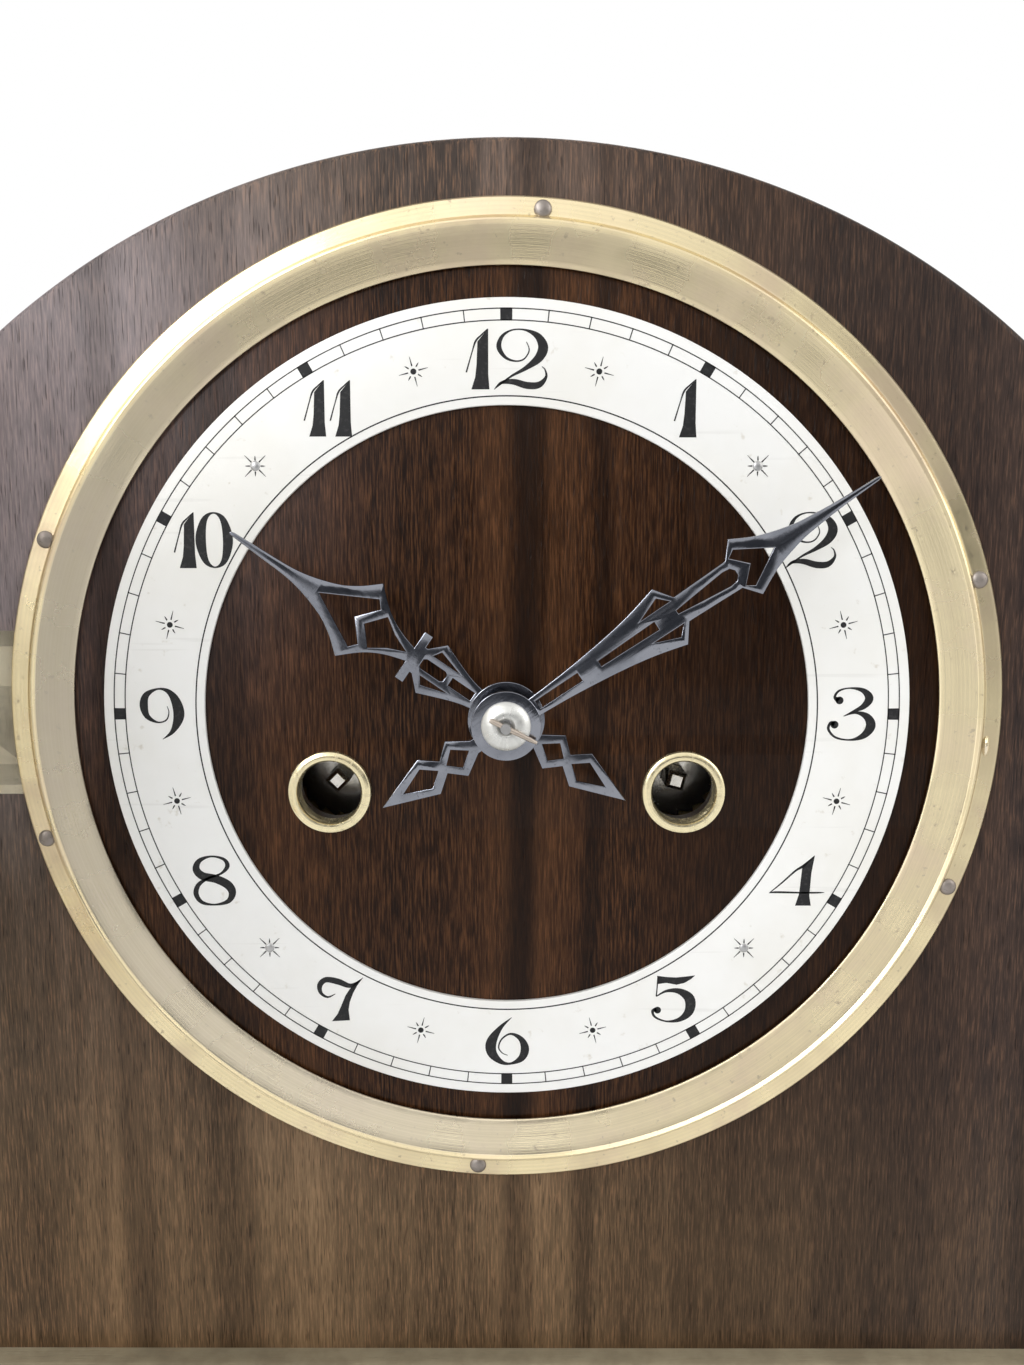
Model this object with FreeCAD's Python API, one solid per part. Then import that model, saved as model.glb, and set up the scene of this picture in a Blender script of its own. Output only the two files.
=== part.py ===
import FreeCAD, Part
import math
import os

# A tambour mantel clock with a wooden case, a brass door ring and a two-train striking movement.
# Millimetres. +X is to the right of the dial, +Y goes back into the case and +Z is up.
# The origin is the middle of the plinth's underside. The glazed door stands open and shows the hands.

# Case, from the photographed arch and dial
DIAL_TO_BOARD_FOOT = 121.7
ARCH_R = 132.75
ARCH_BELOW_DIAL = 37.1
ARCH_SWEEP = 65
SHOULDER_R = 121
SHOULDER_END_SLOPE = 8
END_R = 14
CASE_DEPTH = 100
FRONT_BOARD_T = 8
FRONT_EDGE_BEVEL = 1.2
SKIN_T = 5
BACK_BOARD_T = 6
BOARD_FIT = 0.2
CORNER_BLOCK_W = 16
CORNER_BLOCK_H = 22

# Plinth with a rounded lower step and a square upper step
PLINTH_H = 16
PLINTH_STEP_H = 5
PLINTH_OVERHANG = 10
PLINTH_STEP_OVERHANG = 5
PLINTH_ROUND_R = 6

# Back door in the back board
BACK_OPENING_W = 150
BACK_OPENING_BELOW_ARCH = 45.35
BACK_OPENING_ABOVE_PLINTH = 12
BACK_DOOR_GAP = 1
BACK_HINGE_PIN_R = 1.2
BACK_HINGE_WALL = 1
BACK_HINGE_LEAF_W = 11
BACK_HINGE_LEAF_T = 1.2
BACK_HINGE_H = 22
BACK_HINGE_SPREAD = 45
BACK_KNOB_R = 7
BACK_KNOB_L = 13
BACK_KNOB_NECK_R = 3
BACK_KNOB_HEAD_T = 5
BACK_KNOB_FROM_EDGE = 12

# Chapter ring
RING_R = 70
RING_BORE_R = 52.5
RING_T = 0.8

# Fixed brass ring round the dial, as a flange, a raised ridge and a slope that runs in towards the dial
BEZEL_R = 86
BEZEL_BORE_R = 75.1
BEZEL_RIDGE_OUT_R = 82.2
BEZEL_RIDGE_IN_R = 80.9
BEZEL_FLANGE_H = 1.2
BEZEL_RIDGE_H = 2.7
BEZEL_INNER_H = 1.4
BEZEL_SHEET_T = 0.7

# Glazed door
DOOR_R = 86.5
DOOR_SIGHT_R = 76.5
DOOR_H = 14
DOOR_BEHIND = 2.9
DOOR_RIM_W = 3.5
DOOR_LIP_T = 1.2
DOOR_SHOULDER_DROP = 2.4
GLASS_R = 81
GLASS_RISE = 13
GLASS_T = 2
GLASS_GAP = 0.3
GLASS_CROWN_SHARE = 0.55
GLASS_CLIPS = 4
CLIP_W = 8
CLIP_REACH = 5
CLIP_T = 1
DOOR_OPEN_ANGLE = 105

# Door hinge, whose fixed leaf lies in the front board under the brass ring
HINGE_BESIDE_DOOR = 5.5
HINGE_X = DOOR_R + HINGE_BESIDE_DOOR
HINGE_LEAF_H = 29
HINGE_LEAF_T = 1
HINGE_LEAF_REACH = 14
HINGE_STRAP_T = 1
HINGE_STRAP_REACH = 3.1
HINGE_PIN_R = 0.9
HINGE_KNUCKLE_R = 2
HINGE_KNUCKLES = 3
HINGE_KNUCKLE_GAP = 0.3

# Winding holes and their brass eyelets
WINDING_X = 31.1
WINDING_DROP = 14
GROMMET_R = 7.35
GROMMET_BORE_R = 5.5
GROMMET_FLANGE_T = 1.2
GROMMET_TUBE_T = 0.8

# Running clearances
RUNNING_GAP = 0.05
FIT_GAP = 0.02
FREE_GAP = 0.3
BOARD_HOLE_GAP = 0.6

# Sides of the small round bars and holes, and of the drums, bob, knob and washer
BAR_SIDES = 12
DRUM_SIDES = 32

# Hand stack, as heights in front of the chapter ring
HOUR_HAND_ABOVE_RING = 6
MINUTE_HAND_ABOVE_RING = 12
HAND_T = 0.6
HOUR_HAND_ANGLE = 304.5
MINUTE_HAND_ANGLE = 56
HOUR_BOSS_R = 6.5
MINUTE_BOSS_R = 5.75
BOSS_T = 0.9
WASHER_R = 4.1
WASHER_T = 1.1
WASHER_CROWN_SHARE = 0.6
TAPER_PIN_R = 0.45
TAPER_PIN_L = 9
TAPER_PIN_DROP_ANGLE = 26
TAPER_PIN_LEFT_SHARE = 0.33
ARBOR_TIP_R = 0.85
ARBOR_TIP_BEYOND_WASHER = 1.9

# Hand outlines: along is measured from the centre and across from the middle line
MINUTE_HAND_L = 72
HOUR_HAND_L = 55.5
HAND_TAIL_L = 24.7
MINUTE_HAND_HALF_W = 5.4
HOUR_HAND_HALF_W = 7.35
HAND_TAIL_HALF_W = 3.5

# Movement plates and pillars
MOTION_SPACE = 10
PLATE_T = 2
PLATE_GAP = 36
PLATE_HALF_W = 58
PLATE_ABOVE_DIAL = 50
PLATE_BELOW_DIAL = 46
PILLAR_R = 4
PILLAR_INSET = 6
NUT_ACROSS_CORNERS = 8
NUT_T = 3
STRAP_W = 14
STRAP_T = 2
STRAP_FOOT = 14

# Wheel trains. A tooth is a plain V whose height is a share of the module
TOOTH_TIP_SHARE = 0.8
TOOTH_ROOT_SHARE = 1.2
GREAT_TEETH = 60
FIRST_LEAVES = 10
GREAT_MODULE = 0.82
INTERMEDIATE_TEETH = 48
CENTRE_LEAVES = 8
INTERMEDIATE_MODULE = 0.66
CENTRE_TEETH = 72
THIRD_LEAVES = 6
CENTRE_MODULE = 0.45
THIRD_TEETH = 66
ESCAPE_LEAVES = 6
THIRD_MODULE = 0.4
ESCAPE_TEETH = 40
ESCAPE_WHEEL_R = 12
ESCAPE_TOOTH_H = 1.6
ESCAPE_UNDERCUT_SHARE = 0.4
ESCAPE_ABOVE_CENTRE = 25
PIN_WHEEL_TEETH = 56
FLY_LEAVES = 7
PIN_WHEEL_MODULE = 0.55
PIN_WHEEL_ANGLE = 100
FLY_ANGLE = 60
FLY_VANE_HALF_W = 7
FLY_VANE_L = 9
FLY_VANE_T = 0.5
FLY_VANE_DEPTH = 17
CANNON_TEETH = 12
MINUTE_WHEEL_TEETH = 36
MINUTE_PINION_LEAVES = 10
HOUR_WHEEL_TEETH = 40
MOTION_MODULE = 0.5
WHEEL_T = 1.2
GREAT_WHEEL_T = 2
PINION_L = 5
ARBOR_R = 0.9
CENTRE_ARBOR_R = 1.5
CANNON_WALL = 1
CANNON_PINION_L = 2.4
MINUTE_POST_BEYOND_PINION = 0.6
HOUR_PIPE_WALL = 1
PINION_BEFORE_WHEEL_SHARE = 0.33
HUB_SHARE = 0.26
RIM_SHARE = 0.8
SPOKES = 4
SPOKE_HALF_ANGLE = 9

# Depths inside the plates, from the front plate's back face
CENTRE_WHEEL_DEPTH = 3
INTERMEDIATE_WHEEL_DEPTH = 9
THIRD_WHEEL_DEPTH = 22
ESCAPE_WHEEL_DEPTH = 30.5
GREAT_WHEEL_DEPTH = 31
DRUM_FRONT_DEPTH = 13

# Depths in the motion space, from the front plate's front face forwards
MINUTE_WHEEL_FORWARD = 2
CANNON_PINION_FORWARD = 1
HOUR_WHEEL_FORWARD = 5.2

# Barrels and winding
DRUM_R = 21
WINDING_ARBOR_R = 3.5
WINDING_SQUARE = 3.2
WINDING_TIP_BEHIND_BOARD = 0.9
GOING_SQUARE_TURN = 15
STRIKE_SQUARE_TURN = 45
RATCHET_TEETH = 18
RATCHET_WHEEL_R = 9
RATCHET_TOOTH_H = 1.3
RATCHET_UNDERCUT_SHARE = 0.12
RATCHET_T = 1.5
CLICK_L = 12
CLICK_W = 3.6
CLICK_ANGLE = 28
SCREW_HEAD_T = 1

# Escapement and pendulum
PALLET_SPAN_TEETH = 8.5
PALLET_T = 1.6
PALLET_GAP = 0.9
PALLET_ARM_W = 2.4
PALLET_WIDTH_ANGLE = 6.4
PALLET_ELBOW_X = 4.2
CRUTCH_W = 1.2
CRUTCH_L = 34
PENDULUM_L = 115
PENDULUM_BEHIND_PLATE = 8
PENDULUM_ROD_R = 1
BOB_R = 16
BOB_T = 7
BOB_EDGE_T = 2.4
BOB_CROWN_SHARE = 0.7
RATING_NUT_ACROSS = 8
RATING_NUT_H = 4
ROD_BELOW_BOB = 9
SUSPENSION_W = 3
SUSPENSION_T = 0.4
SUSPENSION_L = 8
COCK_W = 12
COCK_T = 3
COCK_H = 6

# Hammer and gong
HAMMER_PIVOT_X = 36
HAMMER_PIVOT_BELOW_DIAL = 40
HAMMER_REACH = 36
HAMMER_DROP = 20
HAMMER_HEAD_R = 3.2
HAMMER_HEAD_L = 9
HAMMER_STEM_W = 2
HAMMER_REST_GAP = 2
GONG_RODS = 2
GONG_ROD_R = 1.25
GONG_ROD_L = 200
GONG_ROD_SPACING = 8
GONG_ROD_BEHIND_PLATE = 18
GONG_BLOCK_X = 112
GONG_BLOCK_W = 18
GONG_BLOCK_D = 26
GONG_BLOCK_ABOVE_RODS = 8

# Places that follow from the sizes
DIAL_Z = PLINTH_H + DIAL_TO_BOARD_FOOT
ARCH_Z = DIAL_Z - ARCH_BELOW_DIAL
FRONT_Y = -CASE_DEPTH / 2
BACK_Y = CASE_DEPTH / 2
INNER_Y = FRONT_Y + FRONT_BOARD_T
RING_Y = FRONT_Y - RING_T
PLATE_Y = INNER_Y + MOTION_SPACE
INSIDE_Y = PLATE_Y + PLATE_T
BACK_PLATE_Y = INSIDE_Y + PLATE_GAP
BEHIND_Y = BACK_PLATE_Y + PLATE_T


def point(x, y, z):
    return FreeCAD.Vector(x, y, z)


def polar(centre, distance, degrees):
    turn = math.radians(degrees)
    return (centre[0] + distance * math.cos(turn), centre[1] + distance * math.sin(turn))


def box(x_low, x_high, y_low, y_high, z_low, z_high):
    return Part.makeBox(x_high - x_low, y_high - y_low, z_high - z_low, point(x_low, y_low, z_low))


def outline_face(start, steps, y):
    """A face at depth y, bounded by lines (steps of one point) and arcs (steps of two points)."""
    here = start
    edges = []
    for step in steps:
        corners = [point(x, y, z) for x, z in (here,) + step]
        if len(corners) == 2:
            edges.append(Part.LineSegment(*corners).toShape())
        else:
            edges.append(Part.Arc(*corners).toShape())
        here = step[-1]
    return Part.Face(Part.Wire(edges))


def polygon_slab(places, y, depth):
    """A flat piece with straight edges, from depth y backwards."""
    corners = [point(x, y, z) for x, z in places]
    return Part.Face(Part.makePolygon(corners + corners[:1])).extrude(point(0, depth, 0))


def turned(profile, centre):
    """A piece turned about the axis along Y through centre, from (radius, y) corners."""
    x, z = centre
    corners = [point(x + r, y, z) for r, y in profile]
    face = Part.Face(Part.makePolygon(corners + corners[:1]))
    return face.revolve(point(x, 0, z), point(0, 1, 0), 360)


def shaft(centre, radius, y_low, y_high):
    return Part.makeCylinder(radius, y_high - y_low, point(centre[0], y_low, centre[1]), point(0, 1, 0))


def many_sided(start, along, radius, length, sides, around):
    """A bar along one of the main axes, with its flats inside the radius, or around it for a hole."""
    reach = radius / math.cos(math.pi / sides) if around else radius
    across = point(along.z, along.x, along.y)
    other = along.cross(across)
    corners = []
    for number in range(sides):
        turn = 2 * math.pi * (number + 0.5) / sides
        corners.append(start + across * (reach * math.cos(turn)) + other * (reach * math.sin(turn)))
    return Part.Face(Part.makePolygon(corners + corners[:1])).extrude(along * length)


def bar(centre, radius, y_low, y_high, sides=BAR_SIDES):
    start = point(centre[0], y_low, centre[1])
    return many_sided(start, point(0, 1, 0), radius, y_high - y_low, sides, False)


def bar_hole(centre, radius, y_low, y_high):
    start = point(centre[0], y_low, centre[1])
    return many_sided(start, point(0, 1, 0), radius, y_high - y_low, BAR_SIDES, True)


def upright(x, y, radius, z_low, z_high):
    return many_sided(point(x, y, z_low), point(0, 0, 1), radius, z_high - z_low, BAR_SIDES, False)


def upright_hole(x, y, radius, z_low, z_high):
    return many_sided(point(x, y, z_low), point(0, 0, 1), radius, z_high - z_low, BAR_SIDES, True)


def stepped_disc(centre, profile):
    """A disc with sloped edges, from (radius, y) places in order of depth."""
    rings = []
    for radius, y in profile:
        corners = [polar(centre, radius, number * 360 / DRUM_SIDES) for number in range(DRUM_SIDES + 1)]
        rings.append([point(x, y, z) for x, z in corners])
    faces = [Part.Face(Part.makePolygon(rings[0])), Part.Face(Part.makePolygon(rings[-1]))]
    for near, far in zip(rings, rings[1:]):
        for number in range(DRUM_SIDES):
            corners = [near[number], near[number + 1], far[number + 1], far[number], near[number]]
            faces.append(Part.Face(Part.makePolygon(corners)))
    return Part.Solid(Part.Shell(faces))


def turned_by(shape, centre, degrees):
    """A copy turned about the axis along Y, clockwise as the dial is seen."""
    return shape.rotated(point(centre[0], 0, centre[1]), point(0, 1, 0), degrees)


def meeting_point(first, first_distance, second, second_distance):
    """The place at both distances, on the left of the way from first to second."""
    apart = math.dist(first, second)
    along = (first_distance ** 2 - second_distance ** 2 + apart ** 2) / (2 * apart)
    aside = math.sqrt(first_distance ** 2 - along ** 2)
    ux = (second[0] - first[0]) / apart
    uz = (second[1] - first[1]) / apart
    return (first[0] + along * ux - aside * uz, first[1] + along * uz + aside * ux)


def mesh_distance(teeth, leaves, module):
    return (teeth + leaves) * module / 2


def direction(start, end):
    return math.degrees(math.atan2(end[1] - start[1], end[0] - start[0]))


# Arbor places, in X and Z
CENTRE = (0, DIAL_Z)
GOING = (WINDING_X, DIAL_Z - WINDING_DROP)
STRIKE = (-WINDING_X, DIAL_Z - WINDING_DROP)
FIRST_REACH = mesh_distance(GREAT_TEETH, FIRST_LEAVES, GREAT_MODULE)
INTERMEDIATE = meeting_point(
    CENTRE, mesh_distance(INTERMEDIATE_TEETH, CENTRE_LEAVES, INTERMEDIATE_MODULE), GOING, FIRST_REACH
)
ESCAPE = (0, DIAL_Z + ESCAPE_ABOVE_CENTRE)
THIRD = meeting_point(
    CENTRE,
    mesh_distance(CENTRE_TEETH, THIRD_LEAVES, CENTRE_MODULE),
    ESCAPE,
    mesh_distance(THIRD_TEETH, ESCAPE_LEAVES, THIRD_MODULE),
)
PALLET_HALF_SPAN = 180 * PALLET_SPAN_TEETH / ESCAPE_TEETH
PALLET = (0, ESCAPE[1] + ESCAPE_WHEEL_R / math.cos(math.radians(PALLET_HALF_SPAN)))
PIN_WHEEL = polar(STRIKE, FIRST_REACH, PIN_WHEEL_ANGLE)
FLY = polar(PIN_WHEEL, mesh_distance(PIN_WHEEL_TEETH, FLY_LEAVES, PIN_WHEEL_MODULE), FLY_ANGLE)
MOTION_REACH = mesh_distance(MINUTE_WHEEL_TEETH, CANNON_TEETH, MOTION_MODULE)
MINUTE_POST = (0, DIAL_Z - MOTION_REACH)
HOUR_MODULE = 2 * MOTION_REACH / (MINUTE_PINION_LEAVES + HOUR_WHEEL_TEETH)
HAMMER = (-HAMMER_PIVOT_X, DIAL_Z - HAMMER_PIVOT_BELOW_DIAL)
PENDULUM_Y = BEHIND_Y + PENDULUM_BEHIND_PLATE


def gear(centre, teeth, module, first_tooth, y, thickness):
    """A toothed disc whose first tooth points first_tooth degrees from +X towards +Z."""
    pitch_r = teeth * module / 2
    step = 360 / teeth
    places = []
    for number in range(teeth):
        turn = first_tooth + number * step
        places.append(polar(centre, pitch_r + TOOTH_TIP_SHARE * module, turn))
        places.append(polar(centre, pitch_r - TOOTH_ROOT_SHARE * module, turn + step / 2))
    return polygon_slab(places, y, thickness)


def crossed(blank, centre, rim_r, y, thickness):
    """A wheel blank with the openings between its spokes cut out."""
    hub_r = HUB_SHARE * rim_r
    opening_r = RIM_SHARE * rim_r
    for spoke in range(SPOKES):
        middle = (spoke + 0.5) * 360 / SPOKES
        half = 180 / SPOKES
        spoke_half = half - SPOKE_HALF_ANGLE
        hub_half = half - SPOKE_HALF_ANGLE / HUB_SHARE * RIM_SHARE
        window = [
            polar(centre, hub_r, middle - hub_half),
            polar(centre, opening_r, middle - spoke_half),
            polar(centre, opening_r, middle),
            polar(centre, opening_r, middle + spoke_half),
            polar(centre, hub_r, middle + hub_half),
        ]
        blank = blank.cut(polygon_slab(window, y, thickness))
    return blank


def wheel(centre, teeth, module, first_tooth, y, thickness=WHEEL_T):
    blank = gear(centre, teeth, module, first_tooth, y, thickness)
    return crossed(blank, centre, teeth * module / 2, y, thickness)


def pinion(centre, leaves, module, driver, y, length):
    """Leaves with a gap facing the wheel that drives them."""
    gap_towards = direction(centre, driver)
    return gear(centre, leaves, module, gap_towards + 180 / leaves, y, length)


def plate_arbor(centre, radius=ARBOR_R):
    """An arbor with both pivots flush with the plates' outer faces."""
    return bar(centre, radius, PLATE_Y, BEHIND_Y)


def train_arbors():
    """The arbors that pivot in both plates, with their radii."""
    small = [INTERMEDIATE, THIRD, ESCAPE, PALLET, PIN_WHEEL, FLY]
    return [(place, ARBOR_R) for place in small] + [
        (CENTRE, CENTRE_ARBOR_R),
        (GOING, WINDING_ARBOR_R),
        (STRIKE, WINDING_ARBOR_R),
    ]


# Case


def case_face(inset, y):
    """The case's front outline, drawn in by inset, standing on the plinth."""
    sweep = math.radians(ARCH_SWEEP)
    slope = math.radians(SHOULDER_END_SLOPE)
    arch_r = ARCH_R - inset
    shoulder_r = SHOULDER_R + inset
    end_r = END_R - inset
    shoulder_x = (ARCH_R + SHOULDER_R) * math.sin(sweep)
    shoulder_z = ARCH_Z + (ARCH_R + SHOULDER_R) * math.cos(sweep)
    end_x = shoulder_x - (SHOULDER_R + END_R) * math.sin(slope)
    end_z = shoulder_z - (SHOULDER_R + END_R) * math.cos(slope)
    end_middle = (math.pi / 2 + slope) / 2
    shoulder_middle = (sweep + slope) / 2

    def on_end(turn, side):
        return (side * (end_x + end_r * math.sin(turn)), end_z + end_r * math.cos(turn))

    def on_shoulder(turn, side):
        return (side * (shoulder_x - shoulder_r * math.sin(turn)), shoulder_z - shoulder_r * math.cos(turn))

    start = (end_x + end_r, PLINTH_H)
    steps = [
        (on_end(math.pi / 2, 1),),
        (on_end(end_middle, 1), on_end(slope, 1)),
        (on_shoulder(shoulder_middle, 1), on_shoulder(sweep, 1)),
        ((0, ARCH_Z + arch_r), on_shoulder(sweep, -1)),
        (on_shoulder(shoulder_middle, -1), on_shoulder(slope, -1)),
        (on_end(end_middle, -1), on_end(math.pi / 2, -1)),
        ((-start[0], PLINTH_H),),
        (start,),
    ]
    return outline_face(start, steps, y)


def case_half_width(inset=0):
    slope = math.radians(SHOULDER_END_SLOPE)
    shoulder_x = (ARCH_R + SHOULDER_R) * math.sin(math.radians(ARCH_SWEEP))
    return shoulder_x - (SHOULDER_R + END_R) * math.sin(slope) + END_R - inset


def plinth():
    half_w = case_half_width()
    step_z = PLINTH_H - PLINTH_STEP_H
    low_w = half_w + PLINTH_OVERHANG
    low_d = BACK_Y + PLINTH_OVERHANG
    block = box(-low_w, low_w, -low_d, low_d, 0, step_z)
    rim = [edge for edge in block.Edges if edge.BoundBox.ZMin > step_z / 2]
    block = block.makeFillet(PLINTH_ROUND_R, rim)
    high_w = half_w + PLINTH_STEP_OVERHANG
    high_d = BACK_Y + PLINTH_STEP_OVERHANG
    return block.fuse(box(-high_w, high_w, -high_d, high_d, step_z, PLINTH_H)).removeSplitter()


def hinge_leaf_recess():
    left = -HINGE_X
    return box(
        left, left + HINGE_LEAF_REACH, FRONT_Y, FRONT_Y + HINGE_LEAF_T,
        DIAL_Z - HINGE_LEAF_H / 2, DIAL_Z + HINGE_LEAF_H / 2,
    )


def front_board():
    board = case_face(0, FRONT_Y).extrude(point(0, FRONT_BOARD_T, 0))
    rim = [
        edge for edge in board.Edges
        if edge.BoundBox.YMax < FRONT_Y + FRONT_BOARD_T / 2 and edge.BoundBox.ZMax > PLINTH_H + BOARD_FIT
    ]
    board = board.makeChamfer(FRONT_EDGE_BEVEL, rim)
    cuts = [shaft(CENTRE, hour_pipe_r() + BOARD_HOLE_GAP, FRONT_Y, INNER_Y), hinge_leaf_recess()]
    for place in (GOING, STRIKE):
        cuts.append(shaft(place, GROMMET_BORE_R + GROMMET_TUBE_T + FIT_GAP, FRONT_Y, INNER_Y))
    return board.cut(cuts)


def top_skin():
    depth = BACK_Y - INNER_Y
    outer = case_face(0, INNER_Y).extrude(point(0, depth, 0))
    return outer.cut(case_face(SKIN_T, INNER_Y).extrude(point(0, depth, 0)))


def corner_blocks():
    """Glue blocks that tie the front board, the skin's ends and the plinth."""
    outer = case_half_width(SKIN_T)
    blocks = []
    for side in (-1, 1):
        low, high = sorted((side * outer, side * (outer - CORNER_BLOCK_W)))
        back = BACK_Y - BACK_BOARD_T - BOARD_FIT
        blocks.append(box(low, high, INNER_Y, back, PLINTH_H, PLINTH_H + CORNER_BLOCK_H))
    return Part.makeCompound(blocks)


BACK_OPENING_LOW_Z = PLINTH_H + BACK_OPENING_ABOVE_PLINTH
BACK_OPENING_HIGH_Z = ARCH_Z + ARCH_R - BACK_OPENING_BELOW_ARCH


def back_opening(gap):
    half = BACK_OPENING_W / 2 - gap
    return box(
        -half, half, BACK_Y - BACK_BOARD_T, BACK_Y, BACK_OPENING_LOW_Z + gap, BACK_OPENING_HIGH_Z - gap
    )


def back_board():
    board = case_face(SKIN_T + BOARD_FIT, BACK_Y - BACK_BOARD_T).extrude(point(0, BACK_BOARD_T, 0))
    return board.cut(back_opening(0))


def back_door():
    return back_opening(BACK_DOOR_GAP)


# Back door hinges, whose pin stands behind the boards

BACK_HINGE_AXIS_X = BACK_OPENING_W / 2 - BACK_DOOR_GAP / 2
BACK_HINGE_R = BACK_HINGE_PIN_R + BACK_HINGE_WALL
BACK_HINGE_AXIS_Y = BACK_Y + BACK_HINGE_R
BACK_DOOR_MIDDLE_Z = (BACK_OPENING_LOW_Z + BACK_OPENING_HIGH_Z) / 2


def back_hinge_middles():
    return [BACK_DOOR_MIDDLE_Z - BACK_HINGE_SPREAD, BACK_DOOR_MIDDLE_Z + BACK_HINGE_SPREAD]


def back_hinge_half(side):
    """One leaf of each hinge: side 1 lies on the back board with the lower knuckle, side -1 on the door."""
    halves = []
    for middle in back_hinge_middles():
        low = middle - BACK_HINGE_H / 2
        high = middle + BACK_HINGE_H / 2
        near = BACK_HINGE_AXIS_X + side * (BACK_HINGE_R + FREE_GAP)
        inner, outer = sorted((near, near + side * BACK_HINGE_LEAF_W))
        leaf = box(inner, outer, BACK_Y, BACK_Y + BACK_HINGE_LEAF_T, low, high)
        bottom = low if side > 0 else middle + HINGE_KNUCKLE_GAP
        top = middle if side > 0 else high
        inner, outer = sorted((near, BACK_HINGE_AXIS_X))
        neck = box(inner, outer, BACK_Y, BACK_Y + BACK_HINGE_LEAF_T, bottom, top)
        knuckle = upright(BACK_HINGE_AXIS_X, BACK_HINGE_AXIS_Y, BACK_HINGE_R, bottom, top)
        bore_r = BACK_HINGE_PIN_R + RUNNING_GAP
        bore = upright_hole(BACK_HINGE_AXIS_X, BACK_HINGE_AXIS_Y, bore_r, bottom, top)
        halves.append(leaf.fuse([neck, knuckle]).removeSplitter().cut(bore))
    return Part.makeCompound(halves)


def back_hinge_pins():
    pins = []
    for middle in back_hinge_middles():
        low = middle - BACK_HINGE_H / 2
        pins.append(upright(BACK_HINGE_AXIS_X, BACK_HINGE_AXIS_Y, BACK_HINGE_PIN_R, low, low + BACK_HINGE_H))
    return Part.makeCompound(pins)


def back_door_knob():
    centre = (-BACK_OPENING_W / 2 + BACK_DOOR_GAP + BACK_KNOB_FROM_EDGE, BACK_DOOR_MIDDLE_Z)
    neck_end = BACK_Y + BACK_KNOB_L - BACK_KNOB_HEAD_T
    neck = bar(centre, BACK_KNOB_NECK_R, BACK_Y, neck_end)
    return neck.fuse(bar(centre, BACK_KNOB_R, neck_end, BACK_Y + BACK_KNOB_L, DRUM_SIDES))


# Dial side


def chapter_ring():
    return shaft(CENTRE, RING_R, RING_Y, FRONT_Y).cut(shaft(CENTRE, RING_BORE_R, RING_Y, FRONT_Y))


def bezel_ring():
    """The spun ring: its flange lies on the board and its slope runs in over the dial's edge."""
    profile = [
        (BEZEL_R, FRONT_Y),
        (BEZEL_R, FRONT_Y - BEZEL_FLANGE_H),
        (BEZEL_RIDGE_OUT_R, FRONT_Y - BEZEL_FLANGE_H),
        (BEZEL_RIDGE_IN_R, FRONT_Y - BEZEL_RIDGE_H),
        (BEZEL_BORE_R, FRONT_Y - BEZEL_INNER_H),
        (BEZEL_BORE_R, FRONT_Y - BEZEL_INNER_H + BEZEL_SHEET_T),
        (BEZEL_RIDGE_IN_R, FRONT_Y),
    ]
    return turned(profile, CENTRE)


def winding_grommets():
    eyelets = []
    for place in (GOING, STRIKE):
        flange = bar(place, GROMMET_R, FRONT_Y - GROMMET_FLANGE_T, FRONT_Y, DRUM_SIDES)
        tube = bar(place, GROMMET_BORE_R + GROMMET_TUBE_T, FRONT_Y, INNER_Y, DRUM_SIDES)
        bore = bar(place, GROMMET_BORE_R, FRONT_Y - GROMMET_FLANGE_T, INNER_Y, DRUM_SIDES)
        eyelets.append(flange.fuse(tube).cut(bore))
    return Part.makeCompound(eyelets)


# Glazed door, drawn closed and then swung open

DOOR_BACK_Y = FRONT_Y - DOOR_BEHIND
DOOR_FRONT_Y = DOOR_BACK_Y - DOOR_H
HINGE_AXIS_Y = FRONT_Y - HINGE_KNUCKLE_R - HINGE_KNUCKLE_GAP


def swung_open(shape):
    return shape.rotated(point(-HINGE_X, HINGE_AXIS_Y, 0), point(0, 0, 1), -DOOR_OPEN_ANGLE)


def glass_seat_y():
    return DOOR_FRONT_Y + DOOR_LIP_T + GLASS_GAP


def door_bezel():
    profile = [
        (DOOR_R, DOOR_BACK_Y),
        (DOOR_R, DOOR_FRONT_Y + DOOR_SHOULDER_DROP),
        (DOOR_R - DOOR_RIM_W / 2, DOOR_FRONT_Y),
        (DOOR_SIGHT_R, DOOR_FRONT_Y),
        (DOOR_SIGHT_R, DOOR_FRONT_Y + DOOR_LIP_T),
        (DOOR_R - DOOR_RIM_W, DOOR_FRONT_Y + DOOR_LIP_T),
        (DOOR_R - DOOR_RIM_W, DOOR_BACK_Y),
    ]
    return swung_open(turned(profile, CENTRE))


def door_glass():
    """A raised glass with a flat crown, a slope down to the door's lip and a flat rim behind the lip."""
    rim_y = glass_seat_y()
    foot_r = DOOR_SIGHT_R - GLASS_GAP - GLASS_T
    crown_y = rim_y - GLASS_RISE
    front = [(0, crown_y), (foot_r * GLASS_CROWN_SHARE, crown_y), (foot_r, rim_y), (GLASS_R, rim_y)]
    back = [(r, y + GLASS_T) for r, y in front]
    return swung_open(turned(front + back[::-1], CENTRE))


def glass_clips():
    """Four tabs soldered inside the door's rim that hold the glass against its lip."""
    back = glass_seat_y() + GLASS_T + GLASS_GAP
    outer = DOOR_R - DOOR_RIM_W
    clips = []
    for number in range(GLASS_CLIPS):
        clip = box(outer - CLIP_REACH, outer, back, back + CLIP_T, DIAL_Z - CLIP_W / 2, DIAL_Z + CLIP_W / 2)
        inside = shaft(CENTRE, outer, back, back + CLIP_T)
        clips.append(swung_open(turned_by(clip.common(inside), CENTRE, (number + 0.5) * 360 / GLASS_CLIPS)))
    return Part.makeCompound(clips)


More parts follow.
